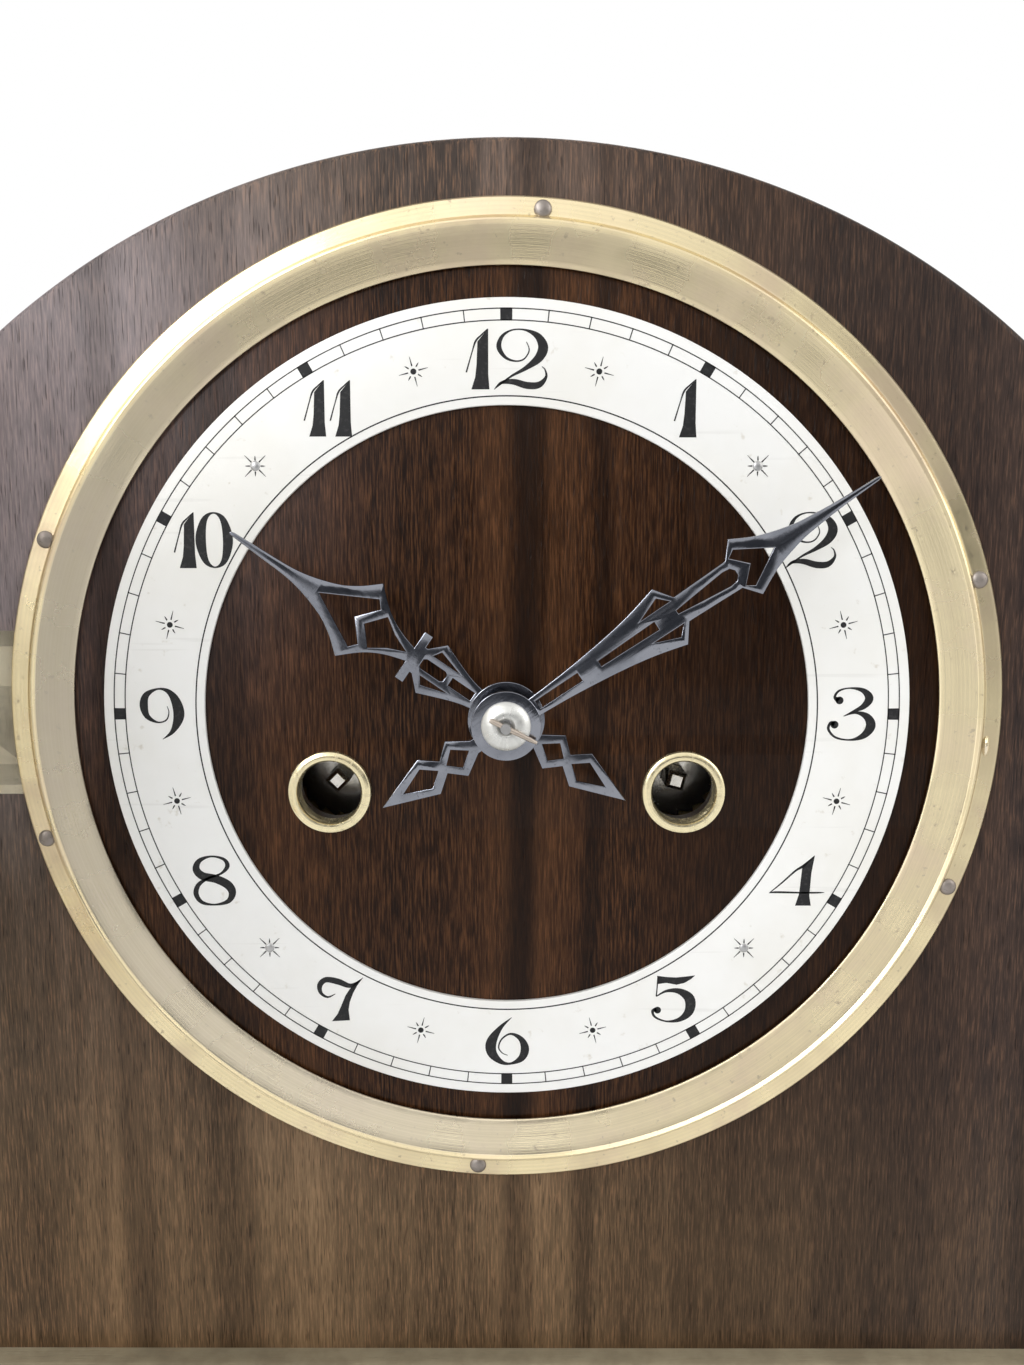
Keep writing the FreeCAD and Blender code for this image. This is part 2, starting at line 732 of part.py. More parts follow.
def hinge_spans(first):
    """Heights of every other knuckle, starting at knuckle number first."""
    step = HINGE_LEAF_H / HINGE_KNUCKLES
    low = DIAL_Z - HINGE_LEAF_H / 2
    spans = []
    for number in range(first, HINGE_KNUCKLES, 2):
        bottom = low + number * step
        spans.append((bottom + HINGE_KNUCKLE_GAP / 2, bottom + step - HINGE_KNUCKLE_GAP / 2))
    return spans


def hinge_bore():
    low = DIAL_Z - HINGE_LEAF_H / 2
    return upright_hole(-HINGE_X, HINGE_AXIS_Y, HINGE_PIN_R + RUNNING_GAP, low, low + HINGE_LEAF_H)


def door_hinge_fixed_leaf():
    """The leaf let into the board, with its outer knuckles standing in front of it."""
    leaf = hinge_leaf_recess()
    for low, high in hinge_spans(0):
        knuckle = upright(-HINGE_X, HINGE_AXIS_Y, HINGE_KNUCKLE_R, low, high)
        foot = box(-HINGE_X, -HINGE_X + HINGE_KNUCKLE_R, HINGE_AXIS_Y, FRONT_Y, low, high)
        leaf = leaf.fuse([knuckle, foot])
    return leaf.cut(hinge_bore())


def door_hinge_pin():
    low = DIAL_Z - HINGE_LEAF_H / 2
    return upright(-HINGE_X, HINGE_AXIS_Y, HINGE_PIN_R, low, low + HINGE_LEAF_H)


def door_hinge_moving_leaf():
    """The knuckle on the door's side and the strap that runs forwards and in to the door's rim."""
    (low, high), = hinge_spans(1)
    knuckle = upright(-HINGE_X, HINGE_AXIS_Y, HINGE_KNUCKLE_R, low, high)
    reach_y = HINGE_AXIS_Y - HINGE_STRAP_REACH
    left = -HINGE_X - HINGE_STRAP_T / 2
    strap = box(left, left + HINGE_STRAP_T, reach_y, HINGE_AXIS_Y, low, high)
    foot = box(left, -DOOR_R + HINGE_STRAP_T, reach_y - HINGE_STRAP_T, reach_y, low, high)
    leaf = knuckle.fuse([strap, foot]).cut(hinge_bore())
    return swung_open(leaf.cut(shaft(CENTRE, DOOR_R, DOOR_FRONT_Y, DOOR_BACK_Y)))


# Hands


def hand_face(start_shares, step_shares, length, half_width, y):
    """A symmetrical flat form drawn up the dial: its half outline runs from start to the middle line."""

    def place(shares, side):
        return (side * shares[1] * half_width, DIAL_Z + shares[0] * length)

    right = [tuple(place(shares, 1) for shares in step) for step in step_shares]
    left = []
    ends = [start_shares] + [step[-1] for step in step_shares]
    for number in range(len(step_shares) - 1, -1, -1):
        through = step_shares[number][:-1]
        left.append(tuple(place(shares, -1) for shares in through + (ends[number],)))
    steps = right + left
    start = place(start_shares, 1)
    if start_shares[1] > 0:
        steps.append((start,))
    return outline_face(start, steps, y)


MINUTE_OUTLINE_START_SHARES = (0.05, 0.3)
MINUTE_OUTLINE_STEP_SHARES = [
    ((0.28, 0.54), (0.444, 1.0)),
    ((0.475, 0.435),),
    ((0.614, 0.48),),
    ((0.644, 0.98),),
    ((0.76, 0.32), (0.903, 0.1)),
    ((0.995, 0.06),),
    ((1.0, 0.0),),
]
MINUTE_HOLE_SHARES = [
    [(0.085, 0.14), ((0.201, 0.14),), ((0.201, 0.0),)],
    [(0.256, 0.1), ((0.408, 0.14),), ((0.408, 0.0),)],
    [(0.464, 0.06), ((0.6, 0.25),), ((0.621, 0.0),)],
]
MINUTE_CHEVRON_SHARES = [(0.721, 0.0), (0.642, 0.63), (0.624, 0.48), (0.658, 0.0)]
MINUTE_SPUR_SHARES = [(0.383, 0.39), (0.44, 0.69), (0.463, 0.4)]

HOUR_OUTLINE_START_SHARES = (0.1, 0.24)
HOUR_OUTLINE_STEP_SHARES = [
    ((0.2, 0.41), (0.274, 0.667)),
    ((0.317, 0.34),),
    ((0.324, 0.626),),
    ((0.353, 0.626),),
    ((0.355, 0.18),),
    ((0.476, 0.585), (0.537, 1.0)),
    ((0.659, 0.374), (0.768, 0.122)),
    ((0.99, 0.04),),
    ((1.0, 0.0),),
]
HOUR_HOLE_SHARES = [
    [(0.115, 0.1), ((0.205, 0.1),), ((0.205, 0.0),)],
    [(0.225, 0.13), ((0.31, 0.13),), ((0.31, 0.0),)],
    [(0.368, 0.0), ((0.41, 0.18), (0.47, 0.422)), ((0.517, 0.0),)],
]
HOUR_CHEVRON_SHARES = [(0.681, 0.0), (0.521, 0.648), (0.501, 0.476), (0.555, 0.0)]
HOUR_SPUR_SHARES = [(0.292, 0.27), (0.276, 0.45), (0.196, 0.27)]

TAIL_OUTLINE_START_SHARES = (0.2, 0.36)
TAIL_OUTLINE_STEP_SHARES = [
    ((0.397, 1.0),),
    ((0.502, 0.34),),
    ((0.619, 0.986),),
    ((1.0, 0.0),),
]
TAIL_HOLE_SHARES = [
    [(0.3, 0.0), ((0.397, 0.51),), ((0.478, 0.0),)],
    [(0.547, 0.0), ((0.644, 0.54),), ((0.826, 0.0),)],
]


def hand(length, half_width, outline, holes, chevron, spur, boss_r, bore, angle, y):
    """A pierced hand with its boss and its tail, turned to its place on the dial."""
    back = point(0, HAND_T, 0)
    blade = hand_face(outline[0], outline[1], length, half_width, y).extrude(back)
    tail = hand_face(TAIL_OUTLINE_START_SHARES, TAIL_OUTLINE_STEP_SHARES, HAND_TAIL_L, HAND_TAIL_HALF_W, y)
    tail = tail.extrude(back)
    cuts = [hand_face(hole[0], hole[1:], length, half_width, y).extrude(back) for hole in holes]
    for side in (-1, 1):
        places = [(side * across * half_width, DIAL_Z + along * length) for along, across in spur]
        cuts.append(polygon_slab(places, y, HAND_T))
    right = [(across * half_width, DIAL_Z + along * length) for along, across in chevron]
    left = [(-x, z) for x, z in right[-2:0:-1]]
    cuts.append(polygon_slab(right + left, y, HAND_T))
    blade = blade.cut(cuts)
    for hole in TAIL_HOLE_SHARES:
        tail = tail.cut(hand_face(hole[0], hole[1:], HAND_TAIL_L, HAND_TAIL_HALF_W, y).extrude(back))
    tail = turned_by(tail, CENTRE, 180)
    boss = bar(CENTRE, boss_r, y + HAND_T - BOSS_T, y + HAND_T, DRUM_SIDES)
    whole = boss.fuse([blade, tail]).removeSplitter().cut(bore)
    return turned_by(whole, CENTRE, angle)


def cannon_bore_r():
    return CENTRE_ARBOR_R + RUNNING_GAP


def cannon_pipe_r():
    return cannon_bore_r() + CANNON_WALL


def hour_pipe_r():
    return cannon_pipe_r() + RUNNING_GAP + HOUR_PIPE_WALL


HOUR_HAND_Y = RING_Y - HOUR_HAND_ABOVE_RING
MINUTE_HAND_Y = RING_Y - MINUTE_HAND_ABOVE_RING


def hour_hand():
    outline = (HOUR_OUTLINE_START_SHARES, HOUR_OUTLINE_STEP_SHARES)
    bore = bar_hole(CENTRE, hour_pipe_r() + FIT_GAP, HOUR_HAND_Y - BOSS_T, HOUR_HAND_Y + BOSS_T)
    return hand(
        HOUR_HAND_L, HOUR_HAND_HALF_W, outline, HOUR_HOLE_SHARES, HOUR_CHEVRON_SHARES,
        HOUR_SPUR_SHARES, HOUR_BOSS_R, bore, HOUR_HAND_ANGLE, HOUR_HAND_Y,
    )


def minute_hand():
    outline = (MINUTE_OUTLINE_START_SHARES, MINUTE_OUTLINE_STEP_SHARES)
    bore = bar_hole(CENTRE, cannon_pipe_r() + FIT_GAP, MINUTE_HAND_Y - BOSS_T, MINUTE_HAND_Y + BOSS_T)
    return hand(
        MINUTE_HAND_L, MINUTE_HAND_HALF_W, outline, MINUTE_HOLE_SHARES, MINUTE_CHEVRON_SHARES,
        MINUTE_SPUR_SHARES, MINUTE_BOSS_R, bore, MINUTE_HAND_ANGLE, MINUTE_HAND_Y,
    )


def washer_back_y():
    return MINUTE_HAND_Y + HAND_T - BOSS_T


def hand_washer():
    """The domed collet between the minute hand and the taper pin."""
    back = washer_back_y()
    front = back - WASHER_T
    dome = stepped_disc(CENTRE, [(WASHER_R * WASHER_CROWN_SHARE, front), (WASHER_R, back)])
    return dome.cut(bar_hole(CENTRE, ARBOR_TIP_R + FIT_GAP, front, back))


def taper_pin():
    middle_y = washer_back_y() - WASHER_T - TAPER_PIN_R
    low = point(-TAPER_PIN_L * TAPER_PIN_LEFT_SHARE, middle_y, DIAL_Z)
    pin = many_sided(low, point(1, 0, 0), TAPER_PIN_R, TAPER_PIN_L, BAR_SIDES, False)
    return turned_by(pin, CENTRE, TAPER_PIN_DROP_ANGLE)


# Motion work in front of the front plate


def cannon_pinion():
    back = PLATE_Y - FREE_GAP
    front = MINUTE_HAND_Y + HAND_T - BOSS_T
    y = PLATE_Y - CANNON_PINION_FORWARD - CANNON_PINION_L
    leaves = pinion(CENTRE, CANNON_TEETH, MOTION_MODULE, MINUTE_POST, y, CANNON_PINION_L)
    body = leaves.fuse(bar(CENTRE, cannon_pipe_r(), front, back))
    return body.cut(bar_hole(CENTRE, cannon_bore_r(), front, back))


def minute_pinion_front_y():
    """As far in front of the hour wheel as the hour wheel is thick."""
    return PLATE_Y - HOUR_WHEEL_FORWARD - WHEEL_T - WHEEL_T


def minute_wheel():
    y = PLATE_Y - MINUTE_WHEEL_FORWARD - WHEEL_T
    blank = gear(MINUTE_POST, MINUTE_WHEEL_TEETH, MOTION_MODULE, 90, y, WHEEL_T)
    front = minute_pinion_front_y()
    leaves = pinion(MINUTE_POST, MINUTE_PINION_LEAVES, HOUR_MODULE, CENTRE, front, y - front)
    return blank.fuse(leaves).cut(bar_hole(MINUTE_POST, ARBOR_R + RUNNING_GAP, front, y + WHEEL_T))


def minute_wheel_post():
    return bar(MINUTE_POST, ARBOR_R, minute_pinion_front_y() - MINUTE_POST_BEYOND_PINION, PLATE_Y)


def hour_wheel():
    y = PLATE_Y - HOUR_WHEEL_FORWARD - WHEEL_T
    blank = gear(CENTRE, HOUR_WHEEL_TEETH, HOUR_MODULE, -90, y, WHEEL_T)
    front = HOUR_HAND_Y + HAND_T - BOSS_T
    body = blank.fuse(bar(CENTRE, hour_pipe_r(), front, y + WHEEL_T))
    return body.cut(bar_hole(CENTRE, cannon_pipe_r() + RUNNING_GAP, front, y + WHEEL_T))


# Plates


def plate(y, holes):
    half = PLATE_HALF_W
    sheet = box(-half, half, y, y + PLATE_T, DIAL_Z - PLATE_BELOW_DIAL, DIAL_Z + PLATE_ABOVE_DIAL)
    return sheet.cut([bar_hole(place, radius + RUNNING_GAP, y, y + PLATE_T) for place, radius in holes])


def pillar_places():
    across = PLATE_HALF_W - PILLAR_INSET
    low = DIAL_Z - PLATE_BELOW_DIAL + PILLAR_INSET
    high = DIAL_Z + PLATE_ABOVE_DIAL - PILLAR_INSET
    return [(-across, low), (across, low), (-across, high), (across, high)]


def front_plate():
    return plate(PLATE_Y, train_arbors())


def back_plate():
    return plate(BACK_PLATE_Y, train_arbors())


def plate_pillars():
    return Part.makeCompound([bar(place, PILLAR_R, INSIDE_Y, BACK_PLATE_Y) for place in pillar_places()])


def hexagon(centre, across_corners):
    return [polar(centre, across_corners / 2, 60 * number) for number in range(6)]


def pillar_nuts():
    """Closed nuts on the pillars' ends behind the back plate."""
    return Part.makeCompound(
        [polygon_slab(hexagon(place, NUT_ACROSS_CORNERS), BEHIND_Y, NUT_T) for place in pillar_places()]
    )


def movement_straps():
    """Angle brackets that hold the front plate to the back of the front board."""
    straps = []
    for side in (-1, 1):
        for level in (-1, 1):
            middle = DIAL_Z + (PLATE_ABOVE_DIAL - PLATE_BELOW_DIAL) / 2
            middle += level * (PLATE_ABOVE_DIAL + PLATE_BELOW_DIAL) / 4
            edge = side * PLATE_HALF_W
            low, high = sorted((edge, edge + side * STRAP_T))
            web = box(low, high, INNER_Y, INSIDE_Y, middle - STRAP_W / 2, middle + STRAP_W / 2)
            low, high = sorted((edge, edge + side * STRAP_FOOT))
            foot = box(low, high, INNER_Y, INNER_Y + STRAP_T, middle - STRAP_W / 2, middle + STRAP_W / 2)
            straps.append(web.fuse(foot))
    return Part.makeCompound(straps)


# Going train


def barrel(centre, driven):
    front = INSIDE_Y + DRUM_FRONT_DEPTH
    wheel_y = INSIDE_Y + GREAT_WHEEL_DEPTH
    teeth = gear(centre, GREAT_TEETH, GREAT_MODULE, direction(centre, driven), wheel_y, GREAT_WHEEL_T)
    drum = bar(centre, DRUM_R, front, wheel_y, DRUM_SIDES)
    bore = bar_hole(centre, WINDING_ARBOR_R + RUNNING_GAP, front, wheel_y + GREAT_WHEEL_T)
    return teeth.fuse(drum).cut(bore)


def going_barrel():
    return barrel(GOING, INTERMEDIATE)


def strike_barrel():
    return barrel(STRIKE, PIN_WHEEL)


def ratchet(centre):
    step = 360 / RATCHET_TEETH
    root_r = RATCHET_WHEEL_R - RATCHET_TOOTH_H
    places = []
    for number in range(RATCHET_TEETH):
        places.append(polar(centre, RATCHET_WHEEL_R, number * step))
        places.append(polar(centre, root_r, (number + RATCHET_UNDERCUT_SHARE) * step))
    return polygon_slab(places, PLATE_Y - FREE_GAP - RATCHET_T, RATCHET_T)


def winding_arbor(centre, square_turn):
    """The barrel arbor, with its ratchet wheel in front of the plate and the key's square at the tip."""
    half = WINDING_SQUARE / 2
    tip = INNER_Y + WINDING_TIP_BEHIND_BOARD
    shoulder = PLATE_Y - FREE_GAP - RATCHET_T
    corners = [(-half, -half), (half, -half), (half, half), (-half, half)]
    places = [(centre[0] + x, centre[1] + z) for x, z in corners]
    square = turned_by(polygon_slab(places, tip, shoulder - tip), centre, square_turn)
    body = bar(centre, WINDING_ARBOR_R, shoulder, BEHIND_Y)
    return body.fuse([ratchet(centre), square])


def click_pivot(centre, side):
    return polar(centre, RATCHET_WHEEL_R + CLICK_W, 90 - side * CLICK_ANGLE)


def click(centre, side):
    """The click, drawn at the top of its lift, just clear of the ratchet's tips."""
    pivot = click_pivot(centre, side)
    y = PLATE_Y - FREE_GAP - RATCHET_T
    nose = polar(centre, RATCHET_WHEEL_R + FREE_GAP, 90 + side * CLICK_ANGLE)
    heel = polar(nose, CLICK_W, direction(centre, nose))
    arm = polygon_slab([nose, heel, pivot], y, RATCHET_T)
    boss = bar(pivot, CLICK_W / 2, y, y + RATCHET_T)
    return arm.fuse(boss).cut(bar_hole(pivot, ARBOR_R + RUNNING_GAP, y, y + RATCHET_T))


def click_screws():
    """Shouldered screws in the front plate that the clicks turn on."""
    y = PLATE_Y - FREE_GAP - RATCHET_T - RUNNING_GAP
    screws = []
    for pivot in (click_pivot(GOING, 1), click_pivot(STRIKE, -1)):
        head = bar(pivot, CLICK_W / 2, y - SCREW_HEAD_T, y)
        screws.append(head.fuse(bar(pivot, ARBOR_R, y, PLATE_Y)))
    return Part.makeCompound(screws)


def intermediate_wheel():
    y = INSIDE_Y + INTERMEDIATE_WHEEL_DEPTH
    rim = wheel(INTERMEDIATE, INTERMEDIATE_TEETH, INTERMEDIATE_MODULE, direction(INTERMEDIATE, CENTRE), y)
    leaves_y = INSIDE_Y + GREAT_WHEEL_DEPTH - PINION_L * PINION_BEFORE_WHEEL_SHARE
    leaves = pinion(INTERMEDIATE, FIRST_LEAVES, GREAT_MODULE, GOING, leaves_y, PINION_L)
    return plate_arbor(INTERMEDIATE).fuse([rim, leaves])


def centre_arbor():
    """The arbor that carries the hands: its stepped front end comes out past the minute hand."""
    tip = washer_back_y() - WASHER_T - ARBOR_TIP_BEYOND_WASHER
    body = bar(CENTRE, CENTRE_ARBOR_R, washer_back_y(), BEHIND_Y)
    end = bar(CENTRE, ARBOR_TIP_R, tip, washer_back_y())
    leaves_y = INSIDE_Y + INTERMEDIATE_WHEEL_DEPTH - PINION_L * PINION_BEFORE_WHEEL_SHARE
    leaves = pinion(CENTRE, CENTRE_LEAVES, INTERMEDIATE_MODULE, INTERMEDIATE, leaves_y, PINION_L)
    middle_y = washer_back_y() - WASHER_T - TAPER_PIN_R
    start = point(-TAPER_PIN_L / 2, middle_y, DIAL_Z)
    cross = many_sided(start, point(1, 0, 0), TAPER_PIN_R + FIT_GAP, TAPER_PIN_L, BAR_SIDES, True)
    return body.fuse([end, leaves]).cut(turned_by(cross, CENTRE, TAPER_PIN_DROP_ANGLE))


def centre_wheel():
    y = INSIDE_Y + CENTRE_WHEEL_DEPTH
    rim = wheel(CENTRE, CENTRE_TEETH, CENTRE_MODULE, direction(CENTRE, THIRD), y)
    return rim.cut(bar(CENTRE, CENTRE_ARBOR_R, y, y + WHEEL_T))


def third_wheel():
    y = INSIDE_Y + THIRD_WHEEL_DEPTH
    rim = wheel(THIRD, THIRD_TEETH, THIRD_MODULE, direction(THIRD, ESCAPE), y)
    leaves_y = INSIDE_Y + CENTRE_WHEEL_DEPTH - PINION_L * PINION_BEFORE_WHEEL_SHARE
    leaves = pinion(THIRD, THIRD_LEAVES, CENTRE_MODULE, CENTRE, leaves_y, PINION_L)
    return plate_arbor(THIRD).fuse([rim, leaves])


def escape_wheel():
    y = INSIDE_Y + ESCAPE_WHEEL_DEPTH
    step = 360 / ESCAPE_TEETH
    root_r = ESCAPE_WHEEL_R - ESCAPE_TOOTH_H
    places = []
    for number in range(ESCAPE_TEETH):
        places.append(polar(ESCAPE, ESCAPE_WHEEL_R, number * step))
        places.append(polar(ESCAPE, root_r, (number + ESCAPE_UNDERCUT_SHARE) * step))
    rim = crossed(polygon_slab(places, y, WHEEL_T), ESCAPE, root_r, y, WHEEL_T)
    leaves_y = INSIDE_Y + THIRD_WHEEL_DEPTH - PINION_L * PINION_BEFORE_WHEEL_SHARE
    leaves = pinion(ESCAPE, ESCAPE_LEAVES, THIRD_MODULE, THIRD, leaves_y, PINION_L)
    return plate_arbor(ESCAPE).fuse([rim, leaves])


def pallet_anchor():
    """The anchor, with both pallets just clear of the wheel's tips, and the crutch behind the plate."""
    y = INSIDE_Y + ESCAPE_WHEEL_DEPTH
    arms = []
    for side in (-1, 1):
        tip_angle = 90 - side * PALLET_HALF_SPAN
        nose = polar(ESCAPE, ESCAPE_WHEEL_R + PALLET_GAP, tip_angle)
        back_angle = tip_angle - side * PALLET_WIDTH_ANGLE
        shoulder = polar(ESCAPE, ESCAPE_WHEEL_R + PALLET_GAP + PALLET_ARM_W, back_angle)
        elbow = (side * PALLET_ELBOW_X, PALLET[1] + PALLET_ARM_W / 2)
        under = (-side * PALLET_ARM_W / 2, PALLET[1] - PALLET_ARM_W / 2)
        over = (-side * PALLET_ARM_W / 2, PALLET[1] + PALLET_ARM_W)
        arms.append(polygon_slab([under, nose, shoulder, elbow, over], y, PALLET_T))
    behind = BEHIND_Y + PENDULUM_BEHIND_PLATE / 2
    arbor = bar(PALLET, ARBOR_R, PLATE_Y, behind)
    fork_z = PALLET[1] - CRUTCH_L
    half = CRUTCH_W / 2
    drop = box(-half, half, behind - CRUTCH_W, behind, fork_z, PALLET[1])
    inner = PENDULUM_ROD_R + FREE_GAP
    outer = inner + CRUTCH_W
    low = fork_z - half
    high = fork_z + half
    fork = box(-outer, outer, behind - CRUTCH_W, PENDULUM_Y + inner, low, high)
    slot = box(-inner, inner, PENDULUM_Y - inner, PENDULUM_Y + inner, low, high)
    return arbor.fuse(arms + [drop, fork.cut(slot)])


# Pendulum


def suspension_cock():
    """The bracket on the back plate that holds the suspension spring's top."""
    low = PALLET[1] + FREE_GAP
    shelf = low + COCK_T
    block = box(-COCK_W / 2, COCK_W / 2, BEHIND_Y, PENDULUM_Y + COCK_T, shelf, shelf + COCK_H)
    chops = box(-COCK_T, COCK_T, PENDULUM_Y - COCK_T, PENDULUM_Y + COCK_T, low, shelf)
    return block.fuse(chops)


def bob_middle_z():
    return PALLET[1] - PENDULUM_L


def pendulum_rod():
    """The suspension spring's strip, the rod down to the bob and the threaded end below it."""
    top = PALLET[1]
    strip = box(
        -SUSPENSION_W / 2, SUSPENSION_W / 2, PENDULUM_Y - SUSPENSION_T / 2, PENDULUM_Y + SUSPENSION_T / 2,
        top - SUSPENSION_L, top,
    )
    rod = upright(0, PENDULUM_Y, PENDULUM_ROD_R, bob_middle_z() + BOB_R, top - SUSPENSION_L)
    low = bob_middle_z() - BOB_R
    below = upright(0, PENDULUM_Y, PENDULUM_ROD_R, low - ROD_BELOW_BOB, low)
    return Part.makeCompound([strip.fuse(rod), below])


def pendulum_bob():
    """A lens-shaped weight, with a flat ground where the rod meets it above and below."""
    crown_r = BOB_R * BOB_CROWN_SHARE
    profile = [
        (crown_r, PENDULUM_Y - BOB_T / 2), (BOB_R, PENDULUM_Y - BOB_EDGE_T / 2),
        (BOB_R, PENDULUM_Y + BOB_EDGE_T / 2), (crown_r, PENDULUM_Y + BOB_T / 2),
    ]
    return stepped_disc((0, bob_middle_z()), profile)


def rating_nut():
    """The nut under the bob, which is turned to set the clock's rate."""
    top = bob_middle_z() - BOB_R
    corners = [point(x, z, top - RATING_NUT_H) for x, z in hexagon((0, PENDULUM_Y), RATING_NUT_ACROSS)]
    nut = Part.Face(Part.makePolygon(corners + corners[:1])).extrude(point(0, 0, RATING_NUT_H))
    return nut.cut(upright(0, PENDULUM_Y, PENDULUM_ROD_R, top - RATING_NUT_H, top))


# Strike train


def strike_pin_wheel():
    y = INSIDE_Y + INTERMEDIATE_WHEEL_DEPTH
    rim = wheel(PIN_WHEEL, PIN_WHEEL_TEETH, PIN_WHEEL_MODULE, direction(PIN_WHEEL, FLY), y)
    leaves_y = INSIDE_Y + GREAT_WHEEL_DEPTH - PINION_L * PINION_BEFORE_WHEEL_SHARE
    leaves = pinion(PIN_WHEEL, FIRST_LEAVES, GREAT_MODULE, STRIKE, leaves_y, PINION_L)
    return plate_arbor(PIN_WHEEL).fuse([rim, leaves])


def strike_fly():
    """The air brake at the end of the strike train."""
    leaves_y = INSIDE_Y + INTERMEDIATE_WHEEL_DEPTH - PINION_L * PINION_BEFORE_WHEEL_SHARE
    leaves = pinion(FLY, FLY_LEAVES, PIN_WHEEL_MODULE, PIN_WHEEL, leaves_y, PINION_L)
    y = INSIDE_Y + FLY_VANE_DEPTH
    vane = box(
        FLY[0] - FLY_VANE_HALF_W, FLY[0] + FLY_VANE_HALF_W, y, y + FLY_VANE_L,
        FLY[1] - FLY_VANE_T / 2, FLY[1] + FLY_VANE_T / 2,
    )
    return plate_arbor(FLY).fuse([vane, leaves])


# Hammers and gong

GONG_TOP_Z = HAMMER[1] - HAMMER_DROP - HAMMER_HEAD_L / 2 - HAMMER_REST_GAP
GONG_ROD_Z = GONG_TOP_Z - GONG_ROD_R


def gong_rod_ys():
    first = BEHIND_Y + GONG_ROD_BEHIND_PLATE
    return [first + number * GONG_ROD_SPACING for number in range(GONG_RODS)]


def gong_block():
    """The iron block on the plinth that the rods are driven into."""
    low_y = gong_rod_ys()[0] - (GONG_BLOCK_D - GONG_ROD_SPACING) / 2
    left = -GONG_BLOCK_X - GONG_BLOCK_W / 2
    top = GONG_ROD_Z + GONG_BLOCK_ABOVE_RODS
    return box(left, left + GONG_BLOCK_W, low_y, low_y + GONG_BLOCK_D, PLINTH_H, top)


def gong_rods():
    start = -GONG_BLOCK_X + GONG_BLOCK_W / 2
    rods = []
    for y in gong_rod_ys():
        low = point(start, y, GONG_ROD_Z)
        rods.append(many_sided(low, point(1, 0, 0), GONG_ROD_R, GONG_ROD_L, BAR_SIDES, False))
    return Part.makeCompound(rods)


def hammer_post():
    """The stud on the back plate that the hammers swing on."""
    return bar(HAMMER, CENTRE_ARBOR_R, BEHIND_Y, gong_rod_ys()[-1] + HAMMER_STEM_W + CENTRE_ARBOR_R)


def hammers():
    head_x = HAMMER[0] - HAMMER_REACH
    head_z = HAMMER[1] - HAMMER_DROP
    sleeve_r = CENTRE_ARBOR_R + RUNNING_GAP + HAMMER_STEM_W / 2
    low = gong_rod_ys()[0] - HAMMER_STEM_W
    high = gong_rod_ys()[-1] + HAMMER_STEM_W
    half = HAMMER_STEM_W / 2
    side = [
        (HAMMER[0], HAMMER[1] - half), (HAMMER[0], HAMMER[1] + half),
        (head_x, head_z + half), (head_x, head_z - half),
    ]
    whole = bar(HAMMER, sleeve_r, low, high)
    for y in gong_rod_ys():
        head = upright(head_x, y, HAMMER_HEAD_R, head_z - HAMMER_HEAD_L / 2, head_z + HAMMER_HEAD_L / 2)
        whole = whole.fuse([head, polygon_slab(side, y - half, HAMMER_STEM_W)])
    return whole.cut(bar_hole(HAMMER, CENTRE_ARBOR_R + RUNNING_GAP, low, high))


NODES = {
    "plinth": plinth,
    "front_board": front_board,
    "top_skin": top_skin,
    "corner_blocks": corner_blocks,
    "back_board": back_board,
    "back_door_panel": back_door,
    "back_door_knob": back_door_knob,
    "back_hinge_fixed_leaves": lambda: back_hinge_half(1),
    "back_hinge_door_leaves": lambda: back_hinge_half(-1),
    "back_hinge_pins": back_hinge_pins,
    "chapter_ring": chapter_ring,
    "bezel_ring": bezel_ring,
    "winding_grommets": winding_grommets,
    "door_bezel": door_bezel,
    "door_glass": door_glass,
    "glass_clips": glass_clips,
    "door_hinge_fixed_leaf": door_hinge_fixed_leaf,
    "door_hinge_moving_leaf": door_hinge_moving_leaf,
    "door_hinge_pin": door_hinge_pin,
    "hour_hand": hour_hand,
    "minute_hand": minute_hand,
    "hand_washer": hand_washer,
    "hand_taper_pin": taper_pin,
    "cannon_pinion": cannon_pinion,
    "minute_wheel": minute_wheel,
    "minute_wheel_post": minute_wheel_post,
    "hour_wheel": hour_wheel,
    "front_plate": front_plate,
    "back_plate": back_plate,
    "plate_pillars": plate_pillars,
    "pillar_nuts": pillar_nuts,
    "movement_straps": movement_straps,
    "going_barrel": going_barrel,
    "strike_barrel": strike_barrel,
    "going_winding_arbor": lambda: winding_arbor(GOING, GOING_SQUARE_TURN),
    "strike_winding_arbor": lambda: winding_arbor(STRIKE, STRIKE_SQUARE_TURN),
    "going_click": lambda: click(GOING, 1),
    "strike_click": lambda: click(STRIKE, -1),
    "click_screws": click_screws,
    "intermediate_wheel": intermediate_wheel,
    "centre_arbor": centre_arbor,
    "centre_wheel": centre_wheel,
    "third_wheel": third_wheel,
    "escape_wheel": escape_wheel,
    "pallet_anchor": pallet_anchor,
    "suspension_cock": suspension_cock,
    "pendulum_rod": pendulum_rod,
    "pendulum_bob": pendulum_bob,
    "rating_nut": rating_nut,
    "strike_pin_wheel": strike_pin_wheel,
    "strike_fly": strike_fly,
    "hammer_post": hammer_post,
    "hammers": hammers,
    "gong_block": gong_block,
    "gong_rods": gong_rods,
}


def main():
    os.makedirs("parts", exist_ok=True)
    for name, make in NODES.items():
        make().exportStep("parts/" + name + ".step")


main()
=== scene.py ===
from math import acos, atan2, cos, pi, radians, sin

import bmesh
import bpy
from mathutils import Matrix, Vector
from mathutils.geometry import tessellate_polygon


